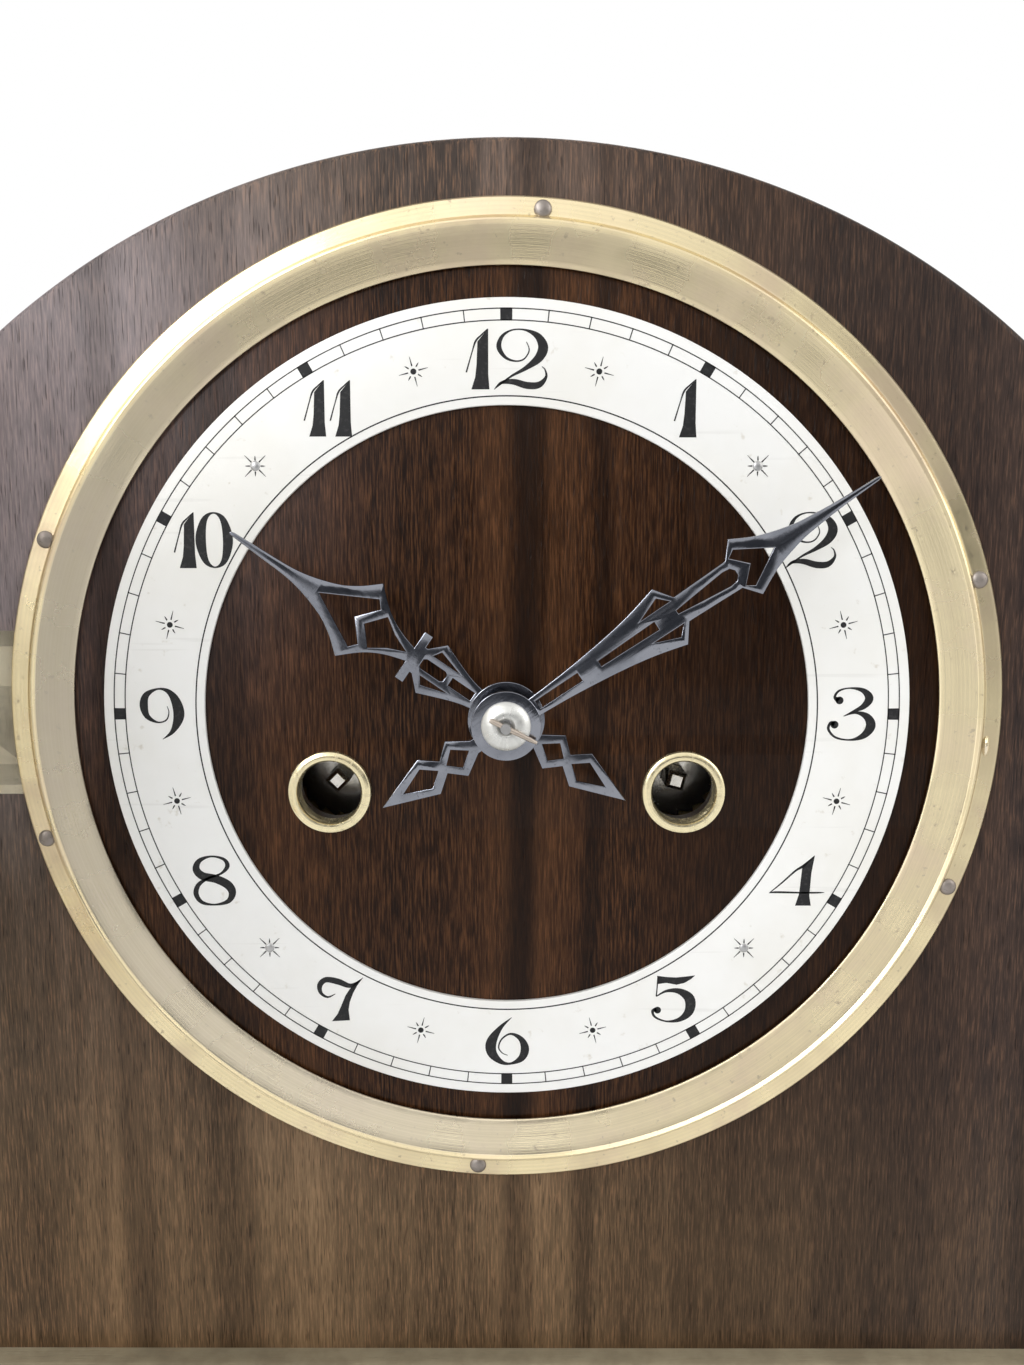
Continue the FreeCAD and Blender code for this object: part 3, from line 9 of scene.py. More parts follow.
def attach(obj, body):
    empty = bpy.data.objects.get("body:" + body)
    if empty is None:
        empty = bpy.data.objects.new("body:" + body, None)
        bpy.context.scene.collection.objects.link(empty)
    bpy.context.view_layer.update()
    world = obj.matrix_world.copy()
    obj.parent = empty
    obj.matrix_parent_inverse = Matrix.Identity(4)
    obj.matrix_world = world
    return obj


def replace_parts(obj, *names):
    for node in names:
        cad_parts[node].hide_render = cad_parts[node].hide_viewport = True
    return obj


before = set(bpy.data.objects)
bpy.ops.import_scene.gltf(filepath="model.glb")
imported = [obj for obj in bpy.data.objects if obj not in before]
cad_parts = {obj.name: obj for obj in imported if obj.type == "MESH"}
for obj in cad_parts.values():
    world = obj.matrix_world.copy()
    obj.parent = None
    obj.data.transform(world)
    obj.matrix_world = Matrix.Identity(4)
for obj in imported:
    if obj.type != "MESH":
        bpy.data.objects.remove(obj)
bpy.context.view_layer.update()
SCENE = bpy.context.scene
MM = 0.001

# Places and sizes shared with the CAD source, in millimetres and degrees
DIAL_Z = 137.7
BOARD_Y = -50
BOARD_BACK_Y = -42
BACK_Y = 50
RING_Y = -50.8
RING_INNER = 52.5
RING_OUTER = 70
NUMERAL_R = 60
BRASS_Y = -51.2
MINUTE_Y = -62.8
HOUR_Y = -56.8
HAND_T = 0.6
BOSS_T = 0.9
MINUTE_ANGLE = 56
HOUR_ANGLE = 304.5
PIN_DROP = 26
WINDING_X = 31.1
WINDING_Z = 123.7
DOOR_HINGE = (-92, -52.3)
DOOR_SWING = -105
GLASS_R = 74.2
GLASS_RISE = 13
KNOB = (-62, 108)
BOB = (63, 16)
ARCH_R = 132.75
ARCH_Z = 100.6
ARCH_SWEEP = 65
SHOULDER_R = 121
SHOULDER_CENTRE = (229.98, 207.84)
SHOULDER_END = 8
END_R = 14
END_CENTRE = (211.19, 74.15)
PLINTH_TOP = 16
PLINTH_HALF = (235.2, 60)
PLINTH_STEP_HALF = (230.2, 55)

# Sizes of the scene's own detail, in millimetres
PRINT_FRONT = RING_Y - 0.035
PRINT_BACK = RING_Y + 0.05
HAND_EDGE = 0.15
NAIL_R = 84

# The camera, in metres and degrees, fitted to the dial's outline in the photograph
CAMERA_X = 0.00137
CAMERA_AWAY = 0.19902
CAMERA_ABOVE = 0.03335
CAMERA_TILT = 7.96
CAMERA_TURN = 0.12
CAMERA_LENS = 30.59


# Curves and outlines

def through(points, closed=False, steps=6):
    """Places on a smooth curve that passes through every given point."""
    count = len(points)
    made = []
    for i in range(count if closed else count - 1):
        near = [(i + k) % count if closed else min(max(i + k, 0), count - 1) for k in (-1, 0, 1, 2)]
        for step in range(steps):
            t = step / steps
            made.append(tuple(
                0.5 * (2 * b + (c - a) * t + (2 * a - 5 * b + 4 * c - d) * t * t
                       + (3 * b - a - 3 * c + d) * t ** 3)
                for a, b, c, d in zip(*(points[k] for k in near))
            ))
    return made if closed else made + [tuple(points[-1])]


def rounded(points, radius, steps=4):
    """The same outline with each corner rounded."""
    made = []
    count = len(points)
    for i, corner in enumerate(points):
        here = Vector(corner)
        before = Vector(points[i - 1]) - here
        after = Vector(points[(i + 1) % count]) - here
        start = here + before.normalized() * min(radius, before.length * 0.45)
        end = here + after.normalized() * min(radius, after.length * 0.45)
        for step in range(steps + 1):
            t = step / steps
            made.append(tuple(start * (1 - t) ** 2 + here * 2 * t * (1 - t) + end * t * t))
    return made


def circle(radius, count, centre=(0, 0)):
    turns = [2 * pi * i / count for i in range(count)]
    return [(centre[0] + radius * sin(t), centre[1] + radius * cos(t)) for t in turns]


def on_dial(angle, radius):
    """A place on the dial, from its clock angle."""
    turn = radians(angle)
    return radius * sin(turn), DIAL_Z + radius * cos(turn)


def mirrored(half):
    """A closed loop from (along, half width) points on one side."""
    side = [(w, a) for a, w in half]
    return side + [(-w, a) for a, w in reversed(half) if w > 0]


def case_outline(inset):
    """The front's outline: an arch, two hollow shoulders and round ends on straight sides."""
    half = []

    def arc(centre, radius, start, end, steps):
        for i in range(0 if not half else 1, steps + 1):
            turn = radians(start + (end - start) * i / steps)
            half.append((centre[0] + radius * sin(turn), centre[1] + radius * cos(turn)))

    arc((0, ARCH_Z), ARCH_R - inset, 0, ARCH_SWEEP, 72)
    arc(SHOULDER_CENTRE, -SHOULDER_R - inset, ARCH_SWEEP, SHOULDER_END, 48)
    arc(END_CENTRE, END_R - inset, SHOULDER_END, 90, 24)
    half.append((END_CENTRE[0] + END_R - inset, PLINTH_TOP))
    return [(-x, z) for x, z in reversed(half)] + half[1:]


# Meshes

def placed(name, data):
    """A new object in the scene."""
    made = bpy.data.objects.new(name, data)
    SCENE.collection.objects.link(made)
    return made


def add_piece(name, verts, faces, finish, body, slot=None, place=None, sharp=35):
    """A mesh given in millimetres, cleaned, shaded, coloured and set on its body."""
    mesh = bpy.data.meshes.new(name)
    mesh.from_pydata([[c * MM for c in v] for v in verts], [], faces)
    work = bmesh.new()
    work.from_mesh(mesh)
    bmesh.ops.remove_doubles(work, verts=work.verts, dist=1e-7)
    bmesh.ops.dissolve_degenerate(work, edges=work.edges, dist=1e-8)
    bmesh.ops.recalc_face_normals(work, faces=work.faces)
    work.to_mesh(mesh)
    work.free()
    mesh.shade_smooth()
    mesh.set_sharp_from_angle(angle=radians(sharp))
    mesh.materials.append(finish)
    piece = placed(name, mesh)
    if place is not None:
        piece.matrix_world = place
    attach(piece, body)
    return piece


def at(x, z, y=0, turn=0):
    """A place in millimetres, turned in degrees about the Y axis."""
    return Matrix.Translation(Vector((x, y, z)) * MM) @ Matrix.Rotation(radians(turn), 4, "Y")


def between(rows, size, closed_rows=False, closed_loops=True):
    """Quads that join rows of equal vertex count."""
    faces = []
    for row in range(rows if closed_rows else rows - 1):
        one, two = row * size, (row + 1) % rows * size
        for k in range(size if closed_loops else size - 1):
            nxt = (k + 1) % size
            faces.append((one + k, one + nxt, two + nxt, two + k))
    return faces


def turned(profile, count, closed=True):
    """A turned shape about the Y axis, from a profile of (radius, y) points."""
    verts = []
    for i in range(count):
        turn = 2 * pi * i / count
        verts += [(r * sin(turn), y, r * cos(turn)) for r, y in profile]
    return verts, between(count, len(profile), True, closed)


def lathe(name, profile, finish, body, slot=None, place=None, count=192, closed=True):
    """A turned piece, about the dial's middle unless a place is given."""
    return add_piece(name, *turned(profile, count, closed), finish, body, slot, place or at(0, DIAL_Z))


def loft_mesh(levels, holes=()):
    """A solid through loops of equal count, with straight holes from end to end."""
    verts = [p for loop in levels for p in loop]
    size = len(levels[0])
    faces = between(len(levels), size)
    starts = []
    for first, last in holes:
        starts.append(len(verts))
        verts += first + last
        faces += [tuple(starts[-1] + i for i in face) for face in between(2, len(first))]
    for end, level in ((0, 0), (1, len(levels) - 1)):
        order = list(range(level * size, (level + 1) * size))
        loops = [[Vector(p) for p in levels[level]]]
        for start, (first, last) in zip(starts, holes):
            loops.append([Vector(p) for p in (first, last)[end]])
            order += range(start + end * len(first), start + (end + 1) * len(first))
        faces += [tuple(order[i] for i in face) for face in tessellate_polygon(loops)]
    return verts, faces


def upright(loop, y):
    return [(x, y, z) for x, z in loop]


def ribbon(points, closed=False):
    """A printed pen stroke of changing width, from (x, z, half width) points."""
    line = through(points, closed)
    verts, faces = [], []
    count = len(line)
    for i, (x, z, half) in enumerate(line):
        ahead = line[(i + 1) % count] if closed else line[min(i + 1, count - 1)]
        behind = line[i - 1] if closed or i else line[0]
        along = Vector((ahead[0] - behind[0], ahead[1] - behind[1])).normalized()
        dx, dz = -along[1] * max(half, 0.003), along[0] * max(half, 0.003)
        for y in (PRINT_FRONT, PRINT_BACK):
            verts += [(x + dx, y, z + dz), (x - dx, y, z - dz)]
    for i in range(count if closed else count - 1):
        a, b = i * 4, ((i + 1) % count) * 4
        faces += [(a, a + 1, b + 1, b), (a + 2, b + 2, b + 3, a + 3)]
        faces += [(a, b, b + 2, a + 2), (a + 1, a + 3, b + 3, b + 1)]
    if not closed:
        last = (count - 1) * 4
        faces += [(0, 2, 3, 1), (last, last + 1, last + 3, last + 2)]
    return verts, faces


def joined(parts):
    verts, faces = [], []
    for more_verts, more_faces in parts:
        base = len(verts)
        verts += more_verts
        faces += [tuple(base + i for i in face) for face in more_faces]
    return verts, faces


def edged_plate(loops, low, high, edge):
    """A flat sheet with pierced holes and rounded edges."""
    curve = bpy.data.curves.new("sheet", "CURVE")
    curve.dimensions = "2D"
    curve.fill_mode = "BOTH"
    for loop in loops:
        spline = curve.splines.new("POLY")
        spline.points.add(len(loop) - 1)
        spline.use_cyclic_u = True
        for spot, (x, z) in zip(spline.points, loop):
            spot.co = (x, z, 0, 1)
    curve.extrude = (high - low) / 2 - edge
    curve.bevel_depth = edge
    curve.bevel_resolution = 1
    curve.offset = -edge
    holder = bpy.data.objects.new("sheet", curve)
    mesh = bpy.data.meshes.new_from_object(holder)
    middle = (low + high) / 2
    verts = [(v.co.x, middle - v.co.z, v.co.y) for v in mesh.vertices]
    faces = [tuple(p.vertices) for p in mesh.polygons]
    bpy.data.objects.remove(holder)
    bpy.data.curves.remove(curve)
    bpy.data.meshes.remove(mesh)
    return verts, faces


# Finishes

class Nodes:
    """Short ways to add shader nodes to a tree."""

    def __init__(self, tree):
        self.tree = tree

    def node(self, kind, inputs=None, **settings):
        made = self.tree.nodes.new("ShaderNode" + kind)
        for key, value in settings.items():
            setattr(made, key, value)
        for key, value in (inputs or {}).items():
            if isinstance(value, bpy.types.NodeSocket):
                self.tree.links.new(value, made.inputs[key])
            else:
                made.inputs[key].default_value = value
        return made

    def place(self):
        return self.node("TexCoord").outputs["Object"]

    def math(self, operation, a, b=0):
        return self.node("Math", {0: a, 1: b}, operation=operation).outputs[0]

    def noise(self, scale, detail, rough=0.55, shift=(0, 0, 0), stretch=(1, 1, 1), vector=None):
        wanted = {"Vector": vector or self.place(), "Scale": stretch, "Location": shift}
        mapping = self.node("Mapping", wanted).outputs[0]
        wanted = {"Vector": mapping, "Scale": scale, "Detail": detail, "Roughness": rough}
        return self.node("TexNoise", wanted).outputs["Fac"]

    def span(self, value, low, high, start=0, end=1):
        wanted = {0: value, 1: low, 2: high, 3: start, 4: end}
        return self.node("MapRange", wanted, interpolation_type="SMOOTHSTEP").outputs[0]

    def ramp(self, factor, stops):
        made = self.node("ValToRGB", {"Fac": factor})
        elements = made.color_ramp.elements
        while len(elements) < len(stops):
            elements.new(0.5)
        for element, (place, colour) in zip(elements, stops):
            element.position = place
            element.color = (*colour, 1)
        return made.outputs[0]

    def mix(self, factor, one, two, blend="MIX"):
        """A blend of two colours, which may be numbers or sockets."""
        made = self.node("Mix", {0: factor}, data_type="RGBA", blend_type=blend)
        for index, value in ((6, one), (7, two)):
            if isinstance(value, bpy.types.NodeSocket):
                self.tree.links.new(value, made.inputs[index])
            else:
                made.inputs[index].default_value = (*value, 1)
        return made.outputs[2]

    def scaled(self, colour, by):
        wanted = {0: colour, "Scale": by}
        return self.node("VectorMath", wanted, operation="SCALE").outputs[0]

    def bump(self, height, distance, strength=1, after=None):
        wanted = {"Height": height, "Distance": distance, "Strength": strength}
        if after is not None:
            wanted["Normal"] = after
        return self.node("Bump", wanted).outputs[0]

    def parts(self):
        """The place's x, y and z."""
        return self.node("SeparateXYZ", {0: self.place()}).outputs

    def product(self, first, *more):
        for value in more:
            first = self.math("MULTIPLY", first, value)
        return first

    def vector(self, operation, one, two=(0, 0, 0), output=0):
        made = self.node("VectorMath", {0: one, 1: two}, operation=operation)
        return made.outputs[output]

    def radius(self, rise=0):
        """Distance from the Y axis, or from a line that far above it."""
        x, _, z = self.parts()
        up = self.math("SUBTRACT", z, rise)
        return self.math("SQRT", self.math("ADD", self.product(x, x), self.product(up, up)))

    def seen(self):
        """1 for rays from the camera, reflections and glass."""
        path = self.node("LightPath").outputs
        indirect = self.math("MAXIMUM", path["Is Glossy Ray"], path["Is Transmission Ray"])
        return self.math("MAXIMUM", path["Is Camera Ray"], indirect)


class Finish(Nodes):
    """A material in the making."""

    def __init__(self, name, values):
        self.material = bpy.data.materials.new(name)
        self.material.use_nodes = True
        super().__init__(self.material.node_tree)
        self.shader = self.tree.nodes["Principled BSDF"]
        for socket, value in values.items():
            self.shader.inputs[socket].default_value = value

    def link(self, socket, value):
        self.tree.links.new(value, self.shader.inputs[socket])

    def made(self, colour, roughness, normal=None):
        self.link("Base Color", colour)
        self.link("Roughness", roughness)
        if normal:
            self.link("Normal", normal)
        return self.material


def lacquer_and_painted_light(f, colour, tone, figure, fibres, dark, streaks_and_shade):
    """Worn lacquer outside the brass ring with painted sheen at its left and bottom, painted shade towards the
    right, a painted highlight at the upper left, and dark stripes; gives the colour and where the film lies.
    """
    x, _, z = f.parts()
    outside = f.span(f.radius(DIAL_Z * MM), 0.077, 0.083)
    worn = f.noise(30, 5, 0.6, (4, 4, 4), (1, 1, 0.4))
    # Lighter film towards the left and at the bottom middle: painted sheen of the lamps at the left and the
    # floor below, broken into patches of wear.
    sheen_at_left = f.product(f.span(x, -0.12, 0.11, 0.74, 0.02), f.span(z, 0.02, 0.075, 0.55, 1))
    central = f.span(f.math("ABSOLUTE", x), 0.025, 0.085, 1, 0.35)
    low = f.product(f.span(z, 0.03, 0.08, 0.4, 0), central)
    share = f.product(f.math("ADD", sheen_at_left, low), f.span(x, -0.2, -0.12, 0.35, 1))
    haze_and_sheen = f.math("MINIMUM", f.product(f.span(worn, 0.3, 0.75, 0.75, 1.25), share), 0.85)
    # The film goes from warm at the bottom to cool at the top, as the colour of the painted sheen.
    film = f.mix(f.span(z, 0.03, 0.15), (0.245, 0.16, 0.086), (0.215, 0.176, 0.154))
    film = f.scaled(film, f.span(tone, 0.36, 0.66, 0.58, 1.42))
    # Darker towards the right, and bluer outside the ring there: painted shade on the side away from the lamps.
    colour = f.scaled(colour, f.span(x, 0.02, 0.1, 1, 0.72))
    cool_shade = f.product(outside, f.span(x, 0.02, 0.09, 0, 0.18))
    colour = f.mix(cool_shade, colour, (0.04, 0.06, 0.08))
    # Outside the ring the veneer takes the film: worn lacquer and painted sheen.
    colour = f.mix(f.product(outside, haze_and_sheen), colour, film)
    flecks = f.product(f.span(fibres, 0.5, 0.68, 0, 0.3), f.span(x, -0.02, 0.09, 1, 0.35))
    colour = f.mix(f.product(outside, flecks), colour, (0.3, 0.165, 0.09))
    # Painted highlight: a pale sheen on the front at the upper left, faint inside the ring.
    spot = f.vector("DISTANCE", f.place(), (-0.092, BOARD_Y * MM, 0.182), "Value")
    painted_sheen = f.product(f.span(spot, 0.02, 0.08, 0.62, 0), f.span(worn, 0.3, 0.7, 0.75, 1.15))
    painted_sheen = f.product(painted_sheen, f.span(outside, 0, 1, 0.22, 1))
    colour = f.mix(painted_sheen, colour, (0.37, 0.315, 0.335))
    sway = f.product(f.math("SUBTRACT", f.noise(11, 3, stretch=(1, 1, 0.5)), 0.5), 0.01)
    ripple = f.product(f.math("SUBTRACT", figure, 0.5), 0.0025)
    across = f.math("ADD", x, f.math("ADD", sway, ripple))
    weaker = f.span(outside, 0, 1, 1, 0.55)
    # Dark bands: the narrow ones are stripes in the veneer, the wide ones are painted shade over the right half.
    for middle, half, depth in streaks_and_shade:
        off = f.math("ABSOLUTE", f.math("SUBTRACT", across, middle * MM))
        fade = f.product(f.span(off, half * 0.15 * MM, half * MM, depth, 0), weaker)
        colour = f.mix(fade, colour, [c * 0.62 for c in dark])
    return colour, outside


def walnut(name, along, dark, middle, light, streaks_and_shade=(), dust_and_sheen_top=False):
    """Lacquered walnut veneer: colour bands, fibres and open pores along one axis."""
    f = Finish(name, {"Coat Weight": 0.06, "Coat Roughness": 0.2, "Specular IOR Level": 0.11})
    long, short = ([stretch if k == along else 1 for k in range(3)] for stretch in (0.05, 0.06))
    bands = f.noise(34, 3, 0.5, stretch=long)
    figure = f.noise(420, 5, 0.65, (3, 1, 2), long)
    fibres = f.noise(3000, 3, 0.65, (1, 2, 5), short)
    pores = f.noise(3800, 1, 0.5, (7, 3, 1), long)
    tone = f.math("ADD", f.product(bands, 0.62), f.product(figure, 0.38))
    colour = f.ramp(tone, [(0.38, dark), (0.5, middle), (0.64, light)])
    colour = f.mix(f.span(fibres, 0.4, 0.72, 0, 0.55), colour, [c * 1.9 for c in light])
    roughness = f.span(figure, 0.3, 0.7, 0.26, 0.36)
    if streaks_and_shade:
        colour, cover = lacquer_and_painted_light(f, colour, tone, figure, fibres, dark, streaks_and_shade)
        roughness = f.math("ADD", roughness, f.product(cover, 0.06))
    colour = f.scaled(colour, f.span(fibres, 0.34, 0.66, 0.83, 1.17))
    pore = f.span(pores, 0.6, 0.68)
    colour = f.mix(f.product(pore, 0.5), colour, [c * 0.4 for c in dark])
    if dust_and_sheen_top:
        # Paler upward faces: dust, and painted sheen where the tops face the light.
        normal = f.node("NewGeometry").outputs["Normal"]
        upwards = f.node("SeparateXYZ", {0: normal}).outputs[2]
        dust = f.noise(160, 4, 0.6, (8, 8, 8))
        cover = f.product(f.span(upwards, 0.6, 0.97), f.span(dust, 0.3, 0.7, 0.7, 0.95))
        colour = f.mix(cover, colour, (0.4, 0.345, 0.235))
    relief = f.bump(fibres, 0.00005, 0.5)
    return f.made(colour, roughness, f.bump(pore, -0.00007, 0.6, relief))


def plain_wood(name):
    """Unfinished softwood of the inside and back, with soft growth rings."""
    f = Finish(name, {"Specular IOR Level": 0.3})
    rings = f.noise(42, 4, 0.6, stretch=(0.06, 1, 1))
    fibres = f.noise(1400, 2, 0.6, (2, 2, 2), (0.02, 1, 1))
    stops = [(0.35, (0.16, 0.085, 0.04)), (0.5, (0.25, 0.145, 0.072)), (0.65, (0.33, 0.2, 0.105))]
    colour = f.ramp(rings, stops)
    stain = f.noise(18, 3, 0.6, (5, 5, 5))
    colour = f.mix(f.span(stain, 0.5, 0.75, 0, 0.45), colour, (0.1, 0.055, 0.03))
    colour = f.mix(f.span(fibres, 0.45, 0.7, 0, 0.35), colour, (0.09, 0.05, 0.025))
    return f.made(colour, f.span(fibres, 0.3, 0.7, 0.55, 0.75), f.bump(fibres, 0.00012, 0.6))


def turned_brass(name, base, tarnish, metallic, roughness, lines=5200, wipe=0.42, slope=0):
    """Turned metal with fine rings about the piece's own Y axis, dulled in patches.

    Inside the slope's radius the colour goes greyer at the left and lighter at the lower right, and outside it
    darker at the right: painted shade and painted highlight for light from the upper left.
    """
    f = Finish(name, {"Metallic": metallic, "Anisotropic": 0.55, "Specular IOR Level": 0.5})
    radius = f.radius()
    rings = f.node("CombineXYZ", {0: radius, 1: f.parts()[1]}).outputs[0]
    grooves = f.noise(lines, 2, 0.7, vector=rings)
    way = f.vector("NORMALIZE", f.vector("MULTIPLY", f.place(), (1, 0, 1)))
    wiped = f.noise(7, 2, 0.5, (1, 4, 2), vector=way)
    patches = f.noise(55, 5, 0.65)
    specks = f.noise(700, 3, 0.6, (3, 3, 3))
    colour = f.mix(f.span(patches, 0.42, 0.7, 0, 0.75), base, tarnish)
    colour = f.mix(f.span(specks, 0.62, 0.75, 0, 0.6), colour, [c * 0.45 for c in tarnish])
    colour = f.mix(f.span(wiped, 0.38, 0.68, 0, wipe), colour, [c * 0.62 for c in tarnish])
    if slope:
        # Painted light: a greyer slope at the left as painted dull reflection, a lighter slope at the lower
        # right as painted highlight, and painted shade on the flange at the right.
        inner = f.span(radius, (slope - 0.3) * MM, slope * MM, 1, 0)
        aims = ((-0.91, 0, -0.41), (0.55, 0, -0.83), (0.95, 0, 0.3))
        left, low, right = (f.vector("DOT_PRODUCT", way, aim, "Value") for aim in aims)
        colour = f.mix(f.product(inner, f.span(left, -0.2, 0.9, 0.12, 0.65)), colour, (0.82, 0.745, 0.63))
        shade = f.mix(inner, f.span(right, 0.4, 0.95, 1, 0.74), f.span(low, -0.9, 0.9, 0.8, 1.1))
        colour = f.mix(1, colour, shade, "MULTIPLY")
    colour = f.mix(f.span(grooves, 0.3, 0.7, 0, 0.3), colour, [c * 0.6 for c in base])
    dullness = f.span(patches, 0.3, 0.7, roughness, roughness + 0.12)
    dullness = f.math("ADD", dullness, f.span(wiped, 0.35, 0.7, -0.04, 0.1))
    f.link("Tangent", f.node("Tangent", direction_type="RADIAL", axis="Y").outputs[0])
    return f.made(colour, dullness, f.bump(grooves, 0.00003, 0.5))


def metal(name, base, dull, roughness, metallic=1, grain=(1, 1, 1), scale=900, spots=0.5):
    """Plain metal with a fine grain, dull patches and dark specks."""
    f = Finish(name, {"Metallic": metallic})
    lines = f.noise(scale, 3, 0.6, stretch=grain)
    patches = f.noise(80, 4, 0.65, (2, 1, 0))
    specks = f.noise(1300, 2, 0.6, (5, 1, 4))
    colour = f.mix(f.span(patches, 0.4, 0.7, 0, 0.8), base, dull)
    colour = f.mix(f.span(specks, 0.6, 0.75, 0, spots), colour, [c * 0.35 for c in dull])
    dullness = f.span(patches, 0.3, 0.7, roughness, roughness + 0.12)
    dullness = f.math("ADD", dullness, f.span(lines, 0.3, 0.7, 0, 0.06))
    return f.made(colour, dullness, f.bump(lines, 0.00002, 0.4))


def silvered():
    """The chapter ring's silver-white coat, with faint turning, fine scratches and yellowed spots."""
    f = Finish("silvered_dial", {"Metallic": 0.12, "Specular IOR Level": 0.45})
    rings = f.node("CombineXYZ", {0: f.radius()}).outputs[0]
    grooves = f.noise(4200, 2, 0.6, vector=rings)
    cloud = f.noise(30, 4, 0.6)
    spots = f.noise(420, 3, 0.55, (6, 2, 1))
    scratch = f.noise(900, 1, 0.5, (1, 9, 1), (0.05, 1, 1))
    colour = f.mix(f.span(cloud, 0.35, 0.7), (0.9, 0.9, 0.885), (0.84, 0.83, 0.79))
    colour = f.mix(f.span(spots, 0.66, 0.78, 0, 0.45), colour, (0.55, 0.5, 0.4))
    colour = f.mix(f.span(scratch, 0.7, 0.78, 0, 0.2), colour, (0.62, 0.61, 0.58))
    return f.made(colour, f.span(cloud, 0.3, 0.7, 0.34, 0.46), f.bump(grooves, 0.00001, 0.3))


def ink():
    """Black dial print, a little thin in places."""
    f = Finish("black_print", {"Specular IOR Level": 0.3})
    cover = f.noise(1600, 3, 0.6)
    colour = f.mix(f.span(cover, 0.5, 0.8, 0, 0.5), (0.012, 0.012, 0.013), (0.07, 0.07, 0.07))
    return f.made(colour, f.span(cover, 0.3, 0.7, 0.38, 0.55))


def glass():
    """Clear door glass with a faint film of dust."""
    f = Finish("clear_glass", {"Transmission Weight": 1, "IOR": 1.47})
    film = f.noise(90, 5, 0.65)
    colour = f.mix(f.span(film, 0.4, 0.8), (0.985, 0.99, 0.985), (0.955, 0.96, 0.95))
    return f.made(colour, f.span(film, 0.45, 0.8, 0, 0.02))


def cast_iron():
    f = Finish("cast_iron", {"Metallic": 0.4, "Specular IOR Level": 0.4})
    rough = f.noise(520, 6, 0.7)
    colour = f.mix(rough, (0.025, 0.024, 0.023), (0.07, 0.062, 0.055))
    return f.made(colour, f.span(rough, 0.3, 0.7, 0.55, 0.8), f.bump(rough, 0.0003, 0.7))


# In the front's band list, those at 44 and 71 mm are painted shade over the right half; the others are dark
# stripes in the veneer.
VENEER = walnut(
    "front_veneer", 2, (0.0105, 0.0038, 0.0015), (0.0275, 0.0105, 0.004), (0.066, 0.0275, 0.0108),
    [(2.5, 5, 0.85), (15.5, 3, 0.7), (-51, 7, 0.45), (-69, 5, 0.6), (44, 26, 0.7), (71, 22, 0.7),
     (98, 6, 0.6), (-110, 8, 0.5), (135, 7, 0.5), (-158, 6, 0.6), (178, 6, 0.5)],
)
SKIN_WOOD = walnut(
    "skin_veneer", 0, (0.016, 0.0075, 0.004), (0.036, 0.017, 0.009), (0.07, 0.036, 0.019)
)
PLINTH_WOOD = walnut(
    "plinth_walnut", 0, (0.018, 0.0085, 0.0045), (0.04, 0.0195, 0.01), (0.076, 0.04, 0.0215),
    dust_and_sheen_top=True,
)
BACK_WOOD = plain_wood("back_wood")
BEZEL_BRASS = turned_brass(
    "bezel_brass", (0.94, 0.8, 0.5), (0.76, 0.6, 0.43), 0.8, 0.22, wipe=0.22, slope=81.5
)
DOOR_BRASS = turned_brass("door_brass", (0.8, 0.66, 0.4), (0.55, 0.43, 0.26), 0.9, 0.22)
EYELET_BRASS = turned_brass(
    "eyelet_brass", (0.92, 0.81, 0.52), (0.76, 0.63, 0.38), 0.85, 0.15, wipe=0.06
)
HINGE_BRASS = metal("hinge_brass", (0.8, 0.73, 0.57), (0.58, 0.52, 0.4), 0.5, 0.2, (1, 1, 0.1))
MOVEMENT_BRASS = metal(
    "movement_brass", (0.8, 0.62, 0.32), (0.6, 0.44, 0.21), 0.26, 1, (1, 1, 0.08), 1200
)
STEEL = metal("grey_steel", (0.52, 0.52, 0.52), (0.33, 0.32, 0.31), 0.3)
BRIGHT_STEEL = metal("bright_steel", (0.8, 0.77, 0.71), (0.6, 0.57, 0.52), 0.14, scale=1500)
HAND_STEEL = metal(
    "polished_hands", (0.28, 0.29, 0.325), (0.2, 0.21, 0.24), 0.06, 1, (1, 1, 0.03), 2200, 0.35
)
WASHER_STEEL = turned_brass(
    "washer_steel", (0.76, 0.76, 0.73), (0.62, 0.61, 0.57), 0.8, 0.24, 7000, 0.1
)
PIN_METAL = metal("pin_metal", (0.6, 0.52, 0.44), (0.4, 0.33, 0.28), 0.24)
NAIL_STEEL = metal("nail_steel", (0.36, 0.32, 0.29), (0.2, 0.17, 0.15), 0.34, 0.85)
SILVERED = silvered()
PRINT = ink()
GLASS = glass()
IRON = cast_iron()


# Case

def front_board():
    """The veneered front with its rounded edge, pierced for the hands and the key."""
    edge = 1.2
    levels = []
    for step in range(6):
        turn = radians(90 * step / 5)
        outline = case_outline(edge * (1 - sin(turn)))
        levels.append(upright(outline, BOARD_Y + edge * (1 - cos(turn))))
    levels.append(upright(case_outline(0), BOARD_BACK_Y))
    holes = []
    places = ((0, DIAL_Z, 3.9), (-WINDING_X, WINDING_Z, 6.35), (WINDING_X, WINDING_Z, 6.35))
    for x, z, radius in places:
        loop = circle(radius, 64, (x, z))
        holes.append((upright(loop, BOARD_Y), upright(loop, BOARD_BACK_Y)))
    board = add_piece("front_panel", *loft_mesh(levels, holes), VENEER, "case", "case_veneer", sharp=30)
    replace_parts(board, "front_board")


def case_skin():
    """The bent top, 5 mm thick, from the front board to the back."""
    inner = case_outline(5)[::-1]
    ends = ((-41.97, 0.25), (-41.7, 0), (49.6, 0), (50, 0.35))
    levels = [upright(case_outline(inset) + inner, y) for y, inset in ends]
    skin = add_piece("bent_skin", *loft_mesh(levels), SKIN_WOOD, "case", "case_wood", sharp=30)
    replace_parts(skin, "top_skin")


